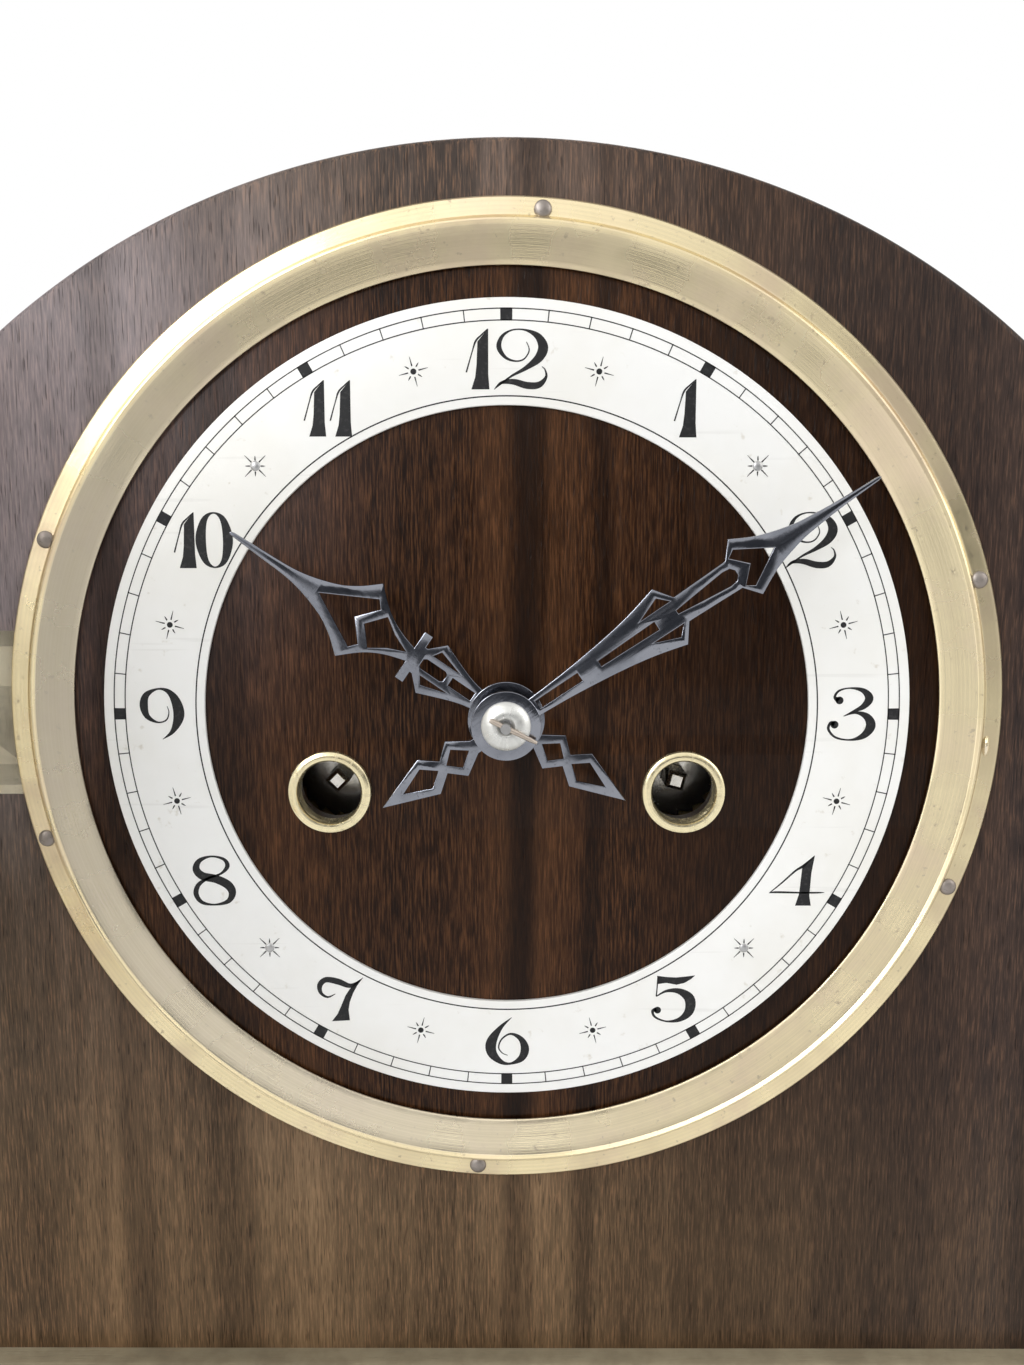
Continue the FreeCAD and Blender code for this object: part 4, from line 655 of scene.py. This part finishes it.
def rectangle(half_x, half_y, z, corner):
    loop = [(half_x, half_y), (-half_x, half_y), (-half_x, -half_y), (half_x, -half_y)]
    return [(x, y, z) for x, y in rounded(loop, corner, 6)]


def plinth():
    """Two steps with rounded upper edges."""

    def slab(foot, half, corner, low, edge, steps):
        levels = foot + [rectangle(*half, low, corner)]
        for step in range(1, steps + 1):
            turn = radians(90 * step / steps)
            inset = edge * (1 - cos(turn))
            levels.append(rectangle(half[0] - inset, half[1] - inset, low + edge * sin(turn), corner))
        return loft_mesh(levels)

    half_x, half_y = PLINTH_HALF
    foot = [rectangle(half_x - 0.4, half_y - 0.4, 0, 3), rectangle(half_x, half_y, 0.5, 3)]
    lower = slab(foot, PLINTH_HALF, 3, 6.1, 4.9, 8)
    upper = slab([rectangle(*PLINTH_STEP_HALF, 10.9, 2)], PLINTH_STEP_HALF, 2, 14.8, 1.2, 4)
    mesh = joined([lower, upper])
    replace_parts(add_piece("stepped_plinth", *mesh, PLINTH_WOOD, "case", "case_wood", sharp=30), "plinth")


def back_knob():
    profile = through([
        (0, BACK_Y + 13), (3.2, 62.8), (5.6, 61.9), (6.85, 60.3), (6.6, 58.6), (4.6, 57.2), (3.2, 55.8),
        (2.8, 53.5), (3.4, 51.4), (4.6, 50.5), (4.8, BACK_Y),
    ])
    profile.append((0, BACK_Y))
    knob = lathe("back_knob", profile, EYELET_BRASS, "back_door", "brass", at(*KNOB), 64)
    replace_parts(knob, "back_door_knob")


# Dial

def chapter_ring():
    corners = [(RING_INNER, BOARD_Y), (RING_INNER, RING_Y), (RING_OUTER, RING_Y), (RING_OUTER, BOARD_Y)]
    ring = lathe("silvered_ring", rounded(corners, 0.18), SILVERED, "case", "silvered_dial", count=288)
    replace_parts(ring, "chapter_ring")


def printed(name, mesh):
    add_piece(name, *mesh, PRINT, "case", sharp=60)


def printed_circle(name, radius, half):
    low, high = radius - half, radius + half
    profile = [(low, PRINT_BACK), (low, PRINT_FRONT), (high, PRINT_FRONT), (high, PRINT_BACK)]
    lathe(name, profile, PRINT, "case", count=288)


def inked(loop):
    return loft_mesh([upright(loop, PRINT_FRONT), upright(loop, PRINT_BACK)])


def sector(angle, half_angle, inner, outer):
    """A block of the minute track about a clock angle."""
    spots = [angle + half_angle * share for share in (-1, -0.5, 0, 0.5, 1)]
    return inked([on_dial(a, outer) for a in spots] + [on_dial(a, inner) for a in reversed(spots)])


def minute_track():
    printed_circle("track_outer_line", 68.2, 0.09)
    printed_circle("track_inner_line", 66.3, 0.09)
    printed_circle("inner_circle", 54, 0.11)
    marks = []
    for minute in range(60):
        half_angle = 0.85 if minute % 5 == 0 else 0.075
        marks.append(sector(minute * 6, half_angle, 66.2, 68.3))
    printed("minute_marks", joined(marks))


def stars():
    """Twelve printed stars between the numerals, each a dot with long and short rays."""
    parts = []
    for number in range(12):
        x, z = on_dial(15 + 30 * number, NUMERAL_R)
        parts.append(inked(circle(0.5, 20, (x, z))))
        for ray in range(8):
            reach = 1.7 if ray % 2 else 2.5
            turn = radians(15 + 30 * number + 45 * ray)
            sx, sz = sin(turn), cos(turn)
            line = [(x + sx * r, z + sz * r, w) for r, w in ((0.9, 0.11), (1.3, 0.1), (reach, 0.03))]
            parts.append(ribbon(line))
    printed("dial_stars", joined(parts))


# Numerals as pen strokes (x, z, half width) and filled shapes (x, z), for a height of one
ONE = {"strokes": [[
    (0.125, 0.99, 0.006), (0.03, 0.9, 0.012), (-0.075, 0.79, 0.016), (-0.14, 0.6, 0.01),
    (-0.235, 0.28, 0.013),
]], "shapes": [[
    (0.135, 1), (0.135, 0.25), (0.155, 0), (-0.15, 0), (-0.085, 0.2), (-0.062, 0.4), (-0.048, 0.7),
    (-0.045, 0.785),
]]}
TWO = {"strokes": [
    [(0.09, 0.78, 0.006), (0.135, 0.64, 0.01), (0.05, 0.5, 0.012), (-0.1, 0.465, 0.014), (-0.27, 0.53, 0.026),
     (-0.375, 0.7, 0.042), (-0.31, 0.88, 0.026), (-0.14, 0.975, 0.012), (0.08, 0.97, 0.018), (0.28, 0.87, 0.055),
     (0.37, 0.69, 0.085), (0.29, 0.51, 0.072), (0.08, 0.35, 0.036), (-0.16, 0.22, 0.018), (-0.37, 0.07, 0.012),
     (-0.455, 0, 0.004)],
    [(-0.455, 0, 0.004), (-0.33, 0.11, 0.025), (-0.13, 0.125, 0.048), (0.1, 0.065, 0.058),
     (0.3, 0.075, 0.052), (0.42, 0.2, 0.024), (0.405, 0.32, 0.012), (0.35, 0.375, 0.006)],
]}
THREE = {"strokes": [
    [(-0.25, 0.755, 0.055), (-0.325, 0.82, 0.026), (-0.25, 0.935, 0.02), (-0.05, 0.985, 0.014),
     (0.19, 0.94, 0.045), (0.31, 0.8, 0.078), (0.22, 0.65, 0.055), (0.03, 0.55, 0.022), (-0.15, 0.46, 0.006)],
    [(-0.15, 0.46, 0.006), (0.08, 0.525, 0.024), (0.28, 0.45, 0.065), (0.36, 0.28, 0.09), (0.24, 0.1, 0.06),
     (0, 0.015, 0.018), (-0.28, 0.06, 0.02), (-0.42, 0.21, 0.024), (-0.385, 0.33, 0.03),
     (-0.31, 0.31, 0.055)],
], "dots": [(-0.235, 0.755, 0.072), (-0.31, 0.3, 0.072)]}
FOUR = {"strokes": [
    [(0.28, 1.01, 0.004), (0.06, 0.8, 0.024), (-0.09, 0.7, 0.018), (-0.35, 0.455, 0.014),
     (-0.57, 0.265, 0.008)],
    [(-0.59, 0.255, 0.004), (-0.45, 0.272, 0.02), (0, 0.262, 0.016), (0.35, 0.262, 0.016),
     (0.49, 0.268, 0.004)],
], "shapes": [[(0.28, 1.01), (0.225, 0.66), (0.2, 0.2), (0.235, 0), (-0.07, 0), (0, 0.24), (0.045, 0.78)]]}
FIVE = {"strokes": [
    [(-0.325, 0.97, 0.012), (-0.335, 0.75, 0.012), (-0.35, 0.55, 0.012)],
    [(-0.35, 0.55, 0.01), (-0.14, 0.665, 0.028), (0.12, 0.66, 0.062), (0.33, 0.5, 0.105), (0.33, 0.24, 0.095),
     (0.15, 0.06, 0.05), (-0.12, 0.012, 0.018), (-0.36, 0.1, 0.022), (-0.42, 0.23, 0.03),
     (-0.34, 0.27, 0.05)],
], "shapes": [[
    (-0.34, 0.99), (-0.15, 0.965), (0.05, 0.955), (0.25, 0.975), (0.435, 1), (0.35, 0.92), (0.22, 0.84),
    (0.06, 0.8), (-0.15, 0.84), (-0.32, 0.815),
]], "dots": [(-0.32, 0.255, 0.072)]}
SIX = {"strokes": [[
    (0.1, 1, 0.004), (-0.13, 0.78, 0.045), (-0.31, 0.48, 0.105), (-0.3, 0.24, 0.098), (-0.12, 0.05, 0.05),
    (0.08, 0.012, 0.024), (0.3, 0.13, 0.07), (0.37, 0.34, 0.085), (0.28, 0.55, 0.052), (0.08, 0.65, 0.022),
    (-0.1, 0.54, 0.016), (-0.165, 0.36, 0.014), (-0.09, 0.24, 0.01), (0.02, 0.19, 0.005),
]]}
SEVEN = {"strokes": [[
    (-0.1, 0.6, 0.006), (-0.26, 0.53, 0.02), (-0.4, 0.62, 0.036), (-0.42, 0.79, 0.056), (-0.29, 0.91, 0.058),
    (-0.04, 0.87, 0.066), (0.2, 0.78, 0.048), (0.36, 0.85, 0.022), (0.485, 0.955, 0.004),
]], "shapes": [[
    (0.485, 0.955), (0.36, 0.78), (0.27, 0.61), (0.2, 0.42), (0.17, 0.25), (0.195, 0.02), (-0.18, 0),
    (-0.06, 0.16), (0.02, 0.34), (0.11, 0.56), (0.2, 0.7), (0.32, 0.85),
]]}
EIGHT = {"loops": [[
    (-0.04, 0.985, 0.018), (-0.27, 0.9, 0.045), (-0.34, 0.73, 0.07), (-0.22, 0.59, 0.08), (0.04, 0.53, 0.082),
    (0.27, 0.41, 0.085), (0.35, 0.25, 0.072), (0.26, 0.08, 0.045), (0, 0.012, 0.018), (-0.25, 0.06, 0.036),
    (-0.36, 0.23, 0.05), (-0.3, 0.42, 0.042), (-0.1, 0.55, 0.022), (0.14, 0.64, 0.022), (0.27, 0.79, 0.044),
    (0.2, 0.93, 0.03),
]]}
NINE = {"strokes": [[
    (0, 0, 0.004), (0.2, 0.16, 0.045), (0.33, 0.46, 0.105), (0.28, 0.75, 0.09), (0.14, 0.94, 0.045),
    (-0.06, 0.985, 0.018), (-0.28, 0.87, 0.058), (-0.34, 0.665, 0.08), (-0.28, 0.45, 0.052),
    (-0.09, 0.335, 0.018), (0.08, 0.375, 0.014), (0.14, 0.52, 0.01), (0.11, 0.65, 0.005),
]]}
ZERO = {"loops": [[
    (0, 0.985, 0.014), (-0.17, 0.86, 0.055), (-0.245, 0.5, 0.094), (-0.17, 0.14, 0.055), (0, 0.015, 0.014),
    (0.17, 0.14, 0.055), (0.245, 0.5, 0.09), (0.17, 0.86, 0.055),
]]}

# Each hour's height, and its digits with their shifts as shares of it
NUMERALS = {
    1: (9.6, [(ONE, 0.05)]), 2: (9.6, [(TWO, 0)]), 3: (9.4, [(THREE, 0)]), 4: (9.1, [(FOUR, 0)]),
    5: (8.8, [(FIVE, 0)]), 6: (8.9, [(SIX, 0)]), 7: (8.6, [(SEVEN, 0)]), 8: (9.1, [(EIGHT, 0)]),
    9: (9, [(NINE, 0)]), 10: (9.5, [(ONE, -0.26), (ZERO, 0.23)]), 11: (9.3, [(ONE, -0.19), (ONE, 0.28)]),
    12: (9.9, [(ONE, -0.44), (TWO, 0.25)]),
}


def glyph(form, x, z, height):
    """One digit with its foot at the given place."""
    parts = []
    for kind, closed in (("strokes", False), ("loops", True)):
        for line in form.get(kind, []):
            spots = [(x + a * height, z + b * height, w * height) for a, b, w in line]
            parts.append(ribbon(spots, closed))
    loops = [[(x + a * height, z + b * height) for a, b in shape] for shape in form.get("shapes", [])]
    loops += [circle(r * height, 24, (x + a * height, z + b * height)) for a, b, r in form.get("dots", [])]
    return joined(parts + [inked(loop) for loop in loops])


def numerals():
    for hour, (height, digits) in NUMERALS.items():
        x, z = on_dial(hour * 30, NUMERAL_R)
        signs = [glyph(form, x + shift * height, z - height / 2, height) for form, shift in digits]
        printed(f"numeral_{hour}", joined(signs))


def rivet(name, x, z, y, radius, rise, finish):
    """A domed head that faces forwards."""
    turns = [radians(a) for a in (0, 20, 40, 60, 75, 90)]
    arc = [(radius * cos(t), y - rise * sin(t)) for t in turns]
    profile = [(0, y + 0.4), (radius, y + 0.4)] + arc
    lathe(name, profile, finish, "case", place=at(x, z), count=40)


def bezel_ring():
    """The fixed brass ring: a flange with its nails, a bead, and a slope down to the dial."""
    front = [
        (86, BOARD_Y), (86, -50.85), (85.75, -51.12), (85.2, BRASS_Y), (83.4, BRASS_Y), (82.95, -51.28),
        (82.65, -51.65), (82.45, -52.2), (82.2, -52.56), (81.9, -52.66), (81.6, -52.52), (81.4, -52.3),
        (81.15, -52.22), (79.5, -51.88), (77.5, -51.47), (75.95, -51.15), (75.4, -51.03), (75.15, -50.9),
        (75.1, -50.7), (75.2, -50.55), (75.5, -50.56),
    ]
    back = [(79.6, -51.5), (81.3, -51.9), (82.4, -50.5), (85, -50.5), (85.3, -50)]
    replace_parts(lathe("brass_ring", front + back, BEZEL_BRASS, "case", "brass", count=320), "bezel_ring")
    for number, angle in enumerate((4.1, 73.9, 111.6, 183.6, 254.7, 291), 1):
        rivet(f"ring_nail_{number}", *on_dial(angle, NAIL_R), BRASS_Y, 1.5, 0.62, NAIL_STEEL)
    for number, angle in enumerate((45, 135, 225, 315), 1):
        rivet(f"dial_rivet_{number}", *on_dial(angle, NUMERAL_R), RING_Y - 0.02, 0.82, 0.26, STEEL)


def catch_dimple():
    """The raised dimple at the right that the closed door clips over."""
    rings, around = 7, 28
    verts = []
    for ring in range(rings):
        rise = pi / 2 * ring / (rings - 1)
        for k in range(around):
            turn = 2 * pi * k / around
            wide, tall = 0.75 * cos(turn), 2.1 * sin(turn)
            verts.append((wide * cos(rise), 0.6 - 1.25 * sin(rise), tall * cos(rise)))
    faces = between(rings, around) + [tuple(range(around))]
    x, z = on_dial(93.8, 83.6)
    add_piece("catch_dimple", verts, faces, BEZEL_BRASS, "case", "brass", at(x, z, BRASS_Y))


def eyelets():
    profile = [
        (5.5, -47.6), (5.5, -50.4), (5.58, -50.85), (5.8, -51.12), (6.15, -51.2), (6.9, -51.12),
        (7.2, -50.92), (7.35, -50.5), (7.32, -50.1), (7.2, -50), (6.3, -50), (6.3, -47.6),
    ]
    left = lathe("eyelet_left", profile, EYELET_BRASS, "case", "brass", at(-WINDING_X, WINDING_Z), 96)
    lathe("eyelet_right", profile, EYELET_BRASS, "case", "brass", at(WINDING_X, WINDING_Z), 96)
    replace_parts(left, "winding_grommets")


# Hands

def tail_loops():
    """The two pierced lozenges on the short side of each hand."""
    outline = [(4.8, 1.25), (6.3, 1.25), (9.8, 3.5), (12.4, 1.2), (15.3, 3.45), (24.7, 0)]
    holes = [[(7.4, 0), (9.8, 1.8), (11.8, 0)], [(13.5, 0), (15.9, 1.9), (20.4, 0)]]
    loops = [mirrored(outline)] + [mirrored(hole) for hole in holes]
    return [[(x, -z) for x, z in loop] for loop in loops]


def hand(name, node, groups, holes, sides, angle, front, boss_r, bore_r, body):
    """A pierced hand: blade and tail cut from one sheet, with its round boss."""
    outline = []
    for group in groups:
        outline += through(group) if len(group) > 2 else group
    loops = [mirrored(outline)] + [mirrored(hole) for hole in holes]
    for side in (-1, 1):
        loops += [[(side * w, a) for a, w in hole] for hole in sides]
    back = front + HAND_T
    blade, tail = (edged_plate(sheet, front, back, HAND_EDGE) for sheet in (loops, tail_loops()))
    boss = [(bore_r, back), (bore_r, back - BOSS_T), (boss_r, back - BOSS_T), (boss_r, back)]
    mesh = joined([blade, tail, turned(rounded(boss, 0.14), 96)])
    place = at(0, DIAL_Z, turn=angle)
    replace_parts(add_piece(name, *mesh, HAND_STEEL, body, "polished_hands", place, 25), node)


def hands():
    hand(
        "pierced_minute_hand", "minute_hand",
        [[(4.8, 1.6), (12, 2.05), (20.2, 2.95), (26.5, 4), (32, 5.4)],
         [(34.2, 2.35), (39, 2.45), (44.2, 2.6)],
         [(46.4, 5.3), (50.6, 3.15), (56, 1.55), (60.5, 0.95), (65, 0.6), (71.2, 0.33)],
         [(71.8, 0.2), (72, 0)]],
        [[(6.3, 0.75), (14.5, 0.75)], [(18.4, 0.5), (29.4, 0.75)],
         [(33.4, 0.3), (38, 0.8), (42.8, 1.3), (44.1, 1.15), (44.7, 0.45)],
         [(51.9, 0), (46.2, 3.4), (44.9, 2.6), (47.4, 0)]],
        [[(27.6, 2.1), (31.7, 3.75), (33.3, 2.15)]],
        MINUTE_ANGLE, MINUTE_Y, 5.75, 1.7, "minute_hand_group",
    )
    hand(
        "pierced_hour_hand", "hour_hand",
        [[(4.8, 1.7), (9, 2.55), (15.2, 4.9)], [(17.6, 2.5), (18, 2.5)], [(18, 4.6), (19.6, 4.6)],
         [(19.6, 1.33), (23.2, 2.5), (26.4, 4.3), (29.8, 7.35)],
         [(29.9, 7.3), (33, 4.7), (36.6, 2.75), (42.6, 1.1), (50, 0.6), (54.8, 0.33)],
         [(55.3, 0.2), (55.5, 0)]],
        [[(6.9, 0.75), (11.4, 0.75)], [(12.5, 0.6), (13, 0.95), (16.7, 0.95), (17.2, 0.6)],
         [(20.4, 0), (23.4, 1.25), (26.1, 3.1), (28.7, 0)],
         [(37.8, 0), (28.9, 4.76), (27.8, 3.5), (30.8, 0)]],
        [[(16.2, 2), (15.3, 3.3), (10.9, 2)]],
        HOUR_ANGLE, HOUR_Y, 6.5, 3, "hour_hand_group",
    )


def washer_and_pin():
    profile = through([
        (1.25, -63.95), (1.6, -64.17), (2.4, -64.12), (3.3, -63.8), (3.95, -63.35), (4.1, -63.12),
    ])
    profile += [(4.05, -63.1), (1.25, -63.1)]
    washer = lathe("domed_washer", profile, WASHER_STEEL, "centre_arbor_group", "steel", count=96)
    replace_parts(washer, "hand_washer")
    line = [(-2.9, 0.36), (-2.5, 0.44), (1, 0.45), (4.5, 0.4), (5.6, 0.28)]
    around = 20
    turns = [2 * pi * k / around for k in range(around)]
    verts = [(x, radius * cos(t), radius * sin(t)) for x, radius in line for t in turns]
    faces = between(len(line), around)
    faces += [tuple(range(around)), tuple(range((len(line) - 1) * around, len(line) * around))]
    place = at(0, DIAL_Z, -64.65, PIN_DROP)
    pin = add_piece("split_taper_pin", verts, faces, PIN_METAL, "centre_arbor_group", "steel", place)
    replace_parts(pin, "hand_taper_pin")


# Glazed door, built shut and swung open on its hinge

def door_place():
    """From the dial's middle with the door shut to where the open door hangs."""
    hinge = Vector((*DOOR_HINGE, 0)) * MM
    swing = Matrix.Rotation(radians(DOOR_SWING), 4, "Z")
    return Matrix.Translation(hinge) @ swing @ Matrix.Translation(-hinge) @ at(0, DIAL_Z)


def glazed_door():
    place = door_place()
    profile = [
        (86.5, -52.9), (86.5, -62.2), (86.3, -63.4), (85.7, -64.6), (84.9, -65.6), (84.2, -66.3), (83.2, -66.8),
        (82, -66.9), (81.2, -66.6), (80.6, -66.2), (80.1, -66.3), (79.4, -66.75), (78.2, -66.88), (77, -66.7),
        (76.5, -66.3), (76.5, -65.7), (83, -65.7), (83, -52.9), (83.4, -52.9), (86.1, -52.9),
    ]
    rim = lathe("door_rim", profile, DOOR_BRASS, "glazed_door", "brass", place, 256)
    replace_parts(rim, "door_bezel")
    front, back = [], []
    for step in range(25):
        share = step / 24
        rise = GLASS_RISE * (1 - share ** 2)
        front.append((GLASS_R * share, -65.4 - rise))
        back.append((GLASS_R * share * 0.985, -63.4 - rise))
    outline = front + [(80.9, -65.4), (81, -65.3), (81, -63.5), (80.9, -63.4)] + back[::-1]
    pane = lathe("domed_glass", outline, GLASS, "glazed_door", "clear_glass", place, 160, closed=False)
    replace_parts(pane, "door_glass")


# Movement and back

def slotted_screw(name, x, z, y, body, turn):
    """A round screw head with a cut slot, which faces backwards."""
    radius, height = 1.6, 0.5
    base = circle(radius, 36)
    cut, shoulder, top = (y + height * share for share in (0.45, 0.88, 1))
    parts = [loft_mesh([upright(base, y), upright(base, cut)])]
    reach = acos(0.17)
    for side in (-1, 1):
        arc = [side * pi / 2 + reach * (2 * i / 14 - 1) for i in range(15)]
        half = [(radius * sin(a), radius * cos(a)) for a in arc]
        inner = [(p * 0.9, q * 0.9) for p, q in half]
        parts.append(loft_mesh([upright(half, cut), upright(half, shoulder), upright(inner, top)]))
    add_piece(name, *joined(parts), NAIL_STEEL, body, "steel", at(x, z, turn=turn))


def face_of(node, x_low, x_high):
    """How far back a node reaches between two places across, in millimetres."""
    spots = [v.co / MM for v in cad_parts[node].data.vertices]
    return max(p.y for p in spots if x_low <= p.x <= x_high)


def hinge_screws():
    outer = face_of("back_hinge_fixed_leaves", 87, 89)
    inner = face_of("back_hinge_door_leaves", 60, 62)
    for number, z in enumerate((56.5, 69.5, 146.5, 159.5), 1):
        slotted_screw(f"fixed_leaf_screw_{number}", 83.5, z, outer, "case", 31 * number)
        slotted_screw(f"door_leaf_screw_{number}", 65.5, z, inner, "back_door", 47 * number)


def winding_ends():
    """A low facetted point on each winding square, from the square's own corners."""
    for train in ("going", "strike"):
        spots = [v.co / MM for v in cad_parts[f"{train}_winding_arbor"].data.vertices]
        front = min(p.y for p in spots)
        corners = {(round(p.x, 3), round(p.z, 3)) for p in spots if p.y < front + 0.05}
        mid = [sum(c[k] for c in corners) / len(corners) for k in (0, 1)]
        loop = sorted(corners, key=lambda c: atan2(c[0] - mid[0], c[1] - mid[1]))
        levels = []
        for share, past in ((0.99, -0.2), (0.99, 0.03), (0.7, 0.42), (0.6, 0.48)):
            shrunk = [(mid[0] + (x - mid[0]) * share, mid[1] + (z - mid[1]) * share) for x, z in loop]
            levels.append(upright(shrunk, front - past))
        body = f"{train}_winding_group"
        add_piece(f"{train}_square_end", *loft_mesh(levels), BRIGHT_STEEL, body, "steel", sharp=20)


def bob():
    """The pendulum's lens-shaped disc."""
    front = through([(0, 12.5), (5, 12.6), (10, 13.2), (14, 14.4), (15.85, 15.5)])
    profile = front + [(16, 15.8), (16, 16.2)] + [(r, 2 * BOB[1] - y) for r, y in reversed(front)]
    home = ("pendulum_group", "movement_brass", at(0, BOB[0]))
    disc = lathe("lenticular_bob", profile, MOVEMENT_BRASS, *home, 96, closed=False)
    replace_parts(disc, "pendulum_bob")


# Finishes of the CAD nodes that stay, and their edge widths in millimetres
CAD_FINISHES = {
    BACK_WOOD: ["corner_blocks", "back_board", "back_door_panel"],
    HINGE_BRASS: [
        "back_hinge_fixed_leaves", "back_hinge_door_leaves", "door_hinge_fixed_leaf", "door_hinge_moving_leaf",
        "glass_clips",
    ],
    STEEL: [
        "back_hinge_pins", "door_hinge_pin", "cannon_pinion", "minute_wheel_post", "pillar_nuts",
        "movement_straps", "going_click", "strike_click", "click_screws", "centre_arbor", "pallet_anchor",
        "pendulum_rod", "strike_fly", "hammer_post", "gong_rods",
    ],
    MOVEMENT_BRASS: [
        "minute_wheel", "hour_wheel", "front_plate", "back_plate", "plate_pillars", "going_barrel",
        "strike_barrel", "intermediate_wheel", "centre_wheel", "third_wheel", "escape_wheel",
        "suspension_cock", "rating_nut", "strike_pin_wheel", "hammers",
    ],
    BRIGHT_STEEL: ["going_winding_arbor", "strike_winding_arbor"],
    IRON: ["gong_block"],
}
EDGES = {
    0.08: ["going_barrel", "strike_barrel"],
    0.1: ["hammers"],
    0.12: [
        "back_hinge_fixed_leaves", "back_hinge_door_leaves", "door_hinge_fixed_leaf", "door_hinge_moving_leaf",
        "going_winding_arbor", "strike_winding_arbor",
    ],
    0.15: ["front_plate", "back_plate", "movement_straps", "suspension_cock"],
    0.4: ["back_board"],
    0.5: ["corner_blocks"],
    0.6: ["back_door_panel"],
    0.8: ["gong_block"],
}


def dress_cad_nodes():
    widths = {node: width for width, nodes in EDGES.items() for node in nodes}
    for finish, nodes in CAD_FINISHES.items():
        for node in nodes:
            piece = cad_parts[node]
            piece.data.materials.clear()
            piece.data.materials.append(finish)
            weld = piece.modifiers.new("weld", "WELD")
            weld.merge_threshold = 2e-6
            if node in widths:
                edge = piece.modifiers.new("edges", "BEVEL")
                edge.width = widths[node] * MM
                edge.segments = 2
                edge.limit_method = "ANGLE"
                edge.angle_limit = radians(40)
                edge.harden_normals = True


# Stage

def sheet_of(name, corners, material):
    mesh = bpy.data.meshes.new(name)
    mesh.from_pydata(corners, [], [(0, 1, 2, 3)])
    mesh.materials.append(material)
    return placed(name, mesh)


def floor():
    """A pale floor that fades to plain white far off, and nearer by in reflections."""
    f = Finish("pale_floor", {"Specular IOR Level": 0.25})
    grain = f.noise(40, 4, 0.6)
    colour = f.mix(grain, (0.84, 0.84, 0.83), (0.88, 0.88, 0.87))
    f.made(colour, f.span(grain, 0.3, 0.7, 0.6, 0.75))
    away = f.vector("LENGTH", f.place(), output="Value")
    white = f.node("Emission", {"Color": (1, 1, 1, 1), "Strength": 1}).outputs[0]
    mirrored_ray = f.node("LightPath").outputs["Is Glossy Ray"]
    near_by = f.product(mirrored_ray, f.span(away, 0.06, 0.14))
    fade = f.math("MAXIMUM", f.product(f.seen(), f.span(away, 0.55, 1.7)), near_by)
    blend = f.node("MixShader", {0: fade, 1: f.shader.outputs[0], 2: white}).outputs[0]
    f.tree.links.new(blend, f.tree.nodes["Material Output"].inputs["Surface"])
    sheet = sheet_of("floor", [(-6, -6, 0), (6, -6, 0), (6, 6, 0), (-6, 6, 0)], f.material)


def dark_card():
    """A studio card behind the camera, which only reflections see."""
    f = Finish("dark_card", {"Roughness": 0.9})
    tone = f.noise(3, 3, 0.5)
    f.link("Base Color", f.mix(tone, (0.03, 0.032, 0.04), (0.1, 0.105, 0.12)))
    corners = [(-0.42, -1.1, 0), (0.95, -1.1, 0), (0.95, -1.1, 0.5), (-0.22, -1.1, 0.34)]
    card = sheet_of("dark_card", corners, f.material)
    card.visible_camera = False
    card.visible_diffuse = False
    card.visible_shadow = False
    card.visible_transmission = False


def lamp(name, place, aim, size, power, colour):
    light = bpy.data.lights.new(name, "AREA")
    light.shape = "DISK"
    light.size = size
    light.energy = power
    light.color = colour
    made = placed(name, light)
    made.location = place
    made.rotation_mode = "QUATERNION"
    made.rotation_quaternion = (Vector((0, 0, aim)) - Vector(place)).to_track_quat("-Z", "Y")


def studio():
    """Four lamps, each with its place, the height it aims at, size, watts and colour, and a white sky."""
    lamp("key", (-1.25, -1.25, 1.35), 0.12, 1.1, 17, (1, 0.99, 0.97))
    lamp("sheen", (-0.74, -1.4, 0.6), 0.16, 0.5, 6, (0.97, 0.98, 1))
    lamp("fill", (1.5, -1, 0.9), 0.12, 1.2, 8, (1, 0.99, 0.97))
    lamp("back", (0.3, 1.7, 1.3), 0.15, 1.2, 9, (1, 1, 1))
    world = bpy.data.worlds.new("studio")
    SCENE.world = world
    world.use_nodes = True
    f = Nodes(world.node_tree)
    strength = f.node("MapRange", {"Value": f.seen(), "To Min": 0.5, "To Max": 1})
    sky = f.tree.nodes["Background"]
    sky.inputs["Color"].default_value = (1, 1, 1, 1)
    f.tree.links.new(strength.outputs[0], sky.inputs["Strength"])


def camera():
    data = bpy.data.cameras.new("camera")
    data.sensor_width = 36
    data.lens = CAMERA_LENS
    data.clip_start = 0.01
    data.clip_end = 30
    made = placed("camera", data)
    made.location = (CAMERA_X, RING_Y * MM - CAMERA_AWAY, DIAL_Z * MM + CAMERA_ABOVE)
    made.rotation_euler = (radians(90 - CAMERA_TILT), 0, radians(CAMERA_TURN))
    SCENE.camera = made


front_board()
case_skin()
plinth()
back_knob()
chapter_ring()
minute_track()
stars()
numerals()
bezel_ring()
catch_dimple()
eyelets()
hands()
washer_and_pin()
glazed_door()
hinge_screws()
winding_ends()
bob()
dress_cad_nodes()
floor()
dark_card()
studio()
camera()
SCENE.view_settings.view_transform = "Standard"
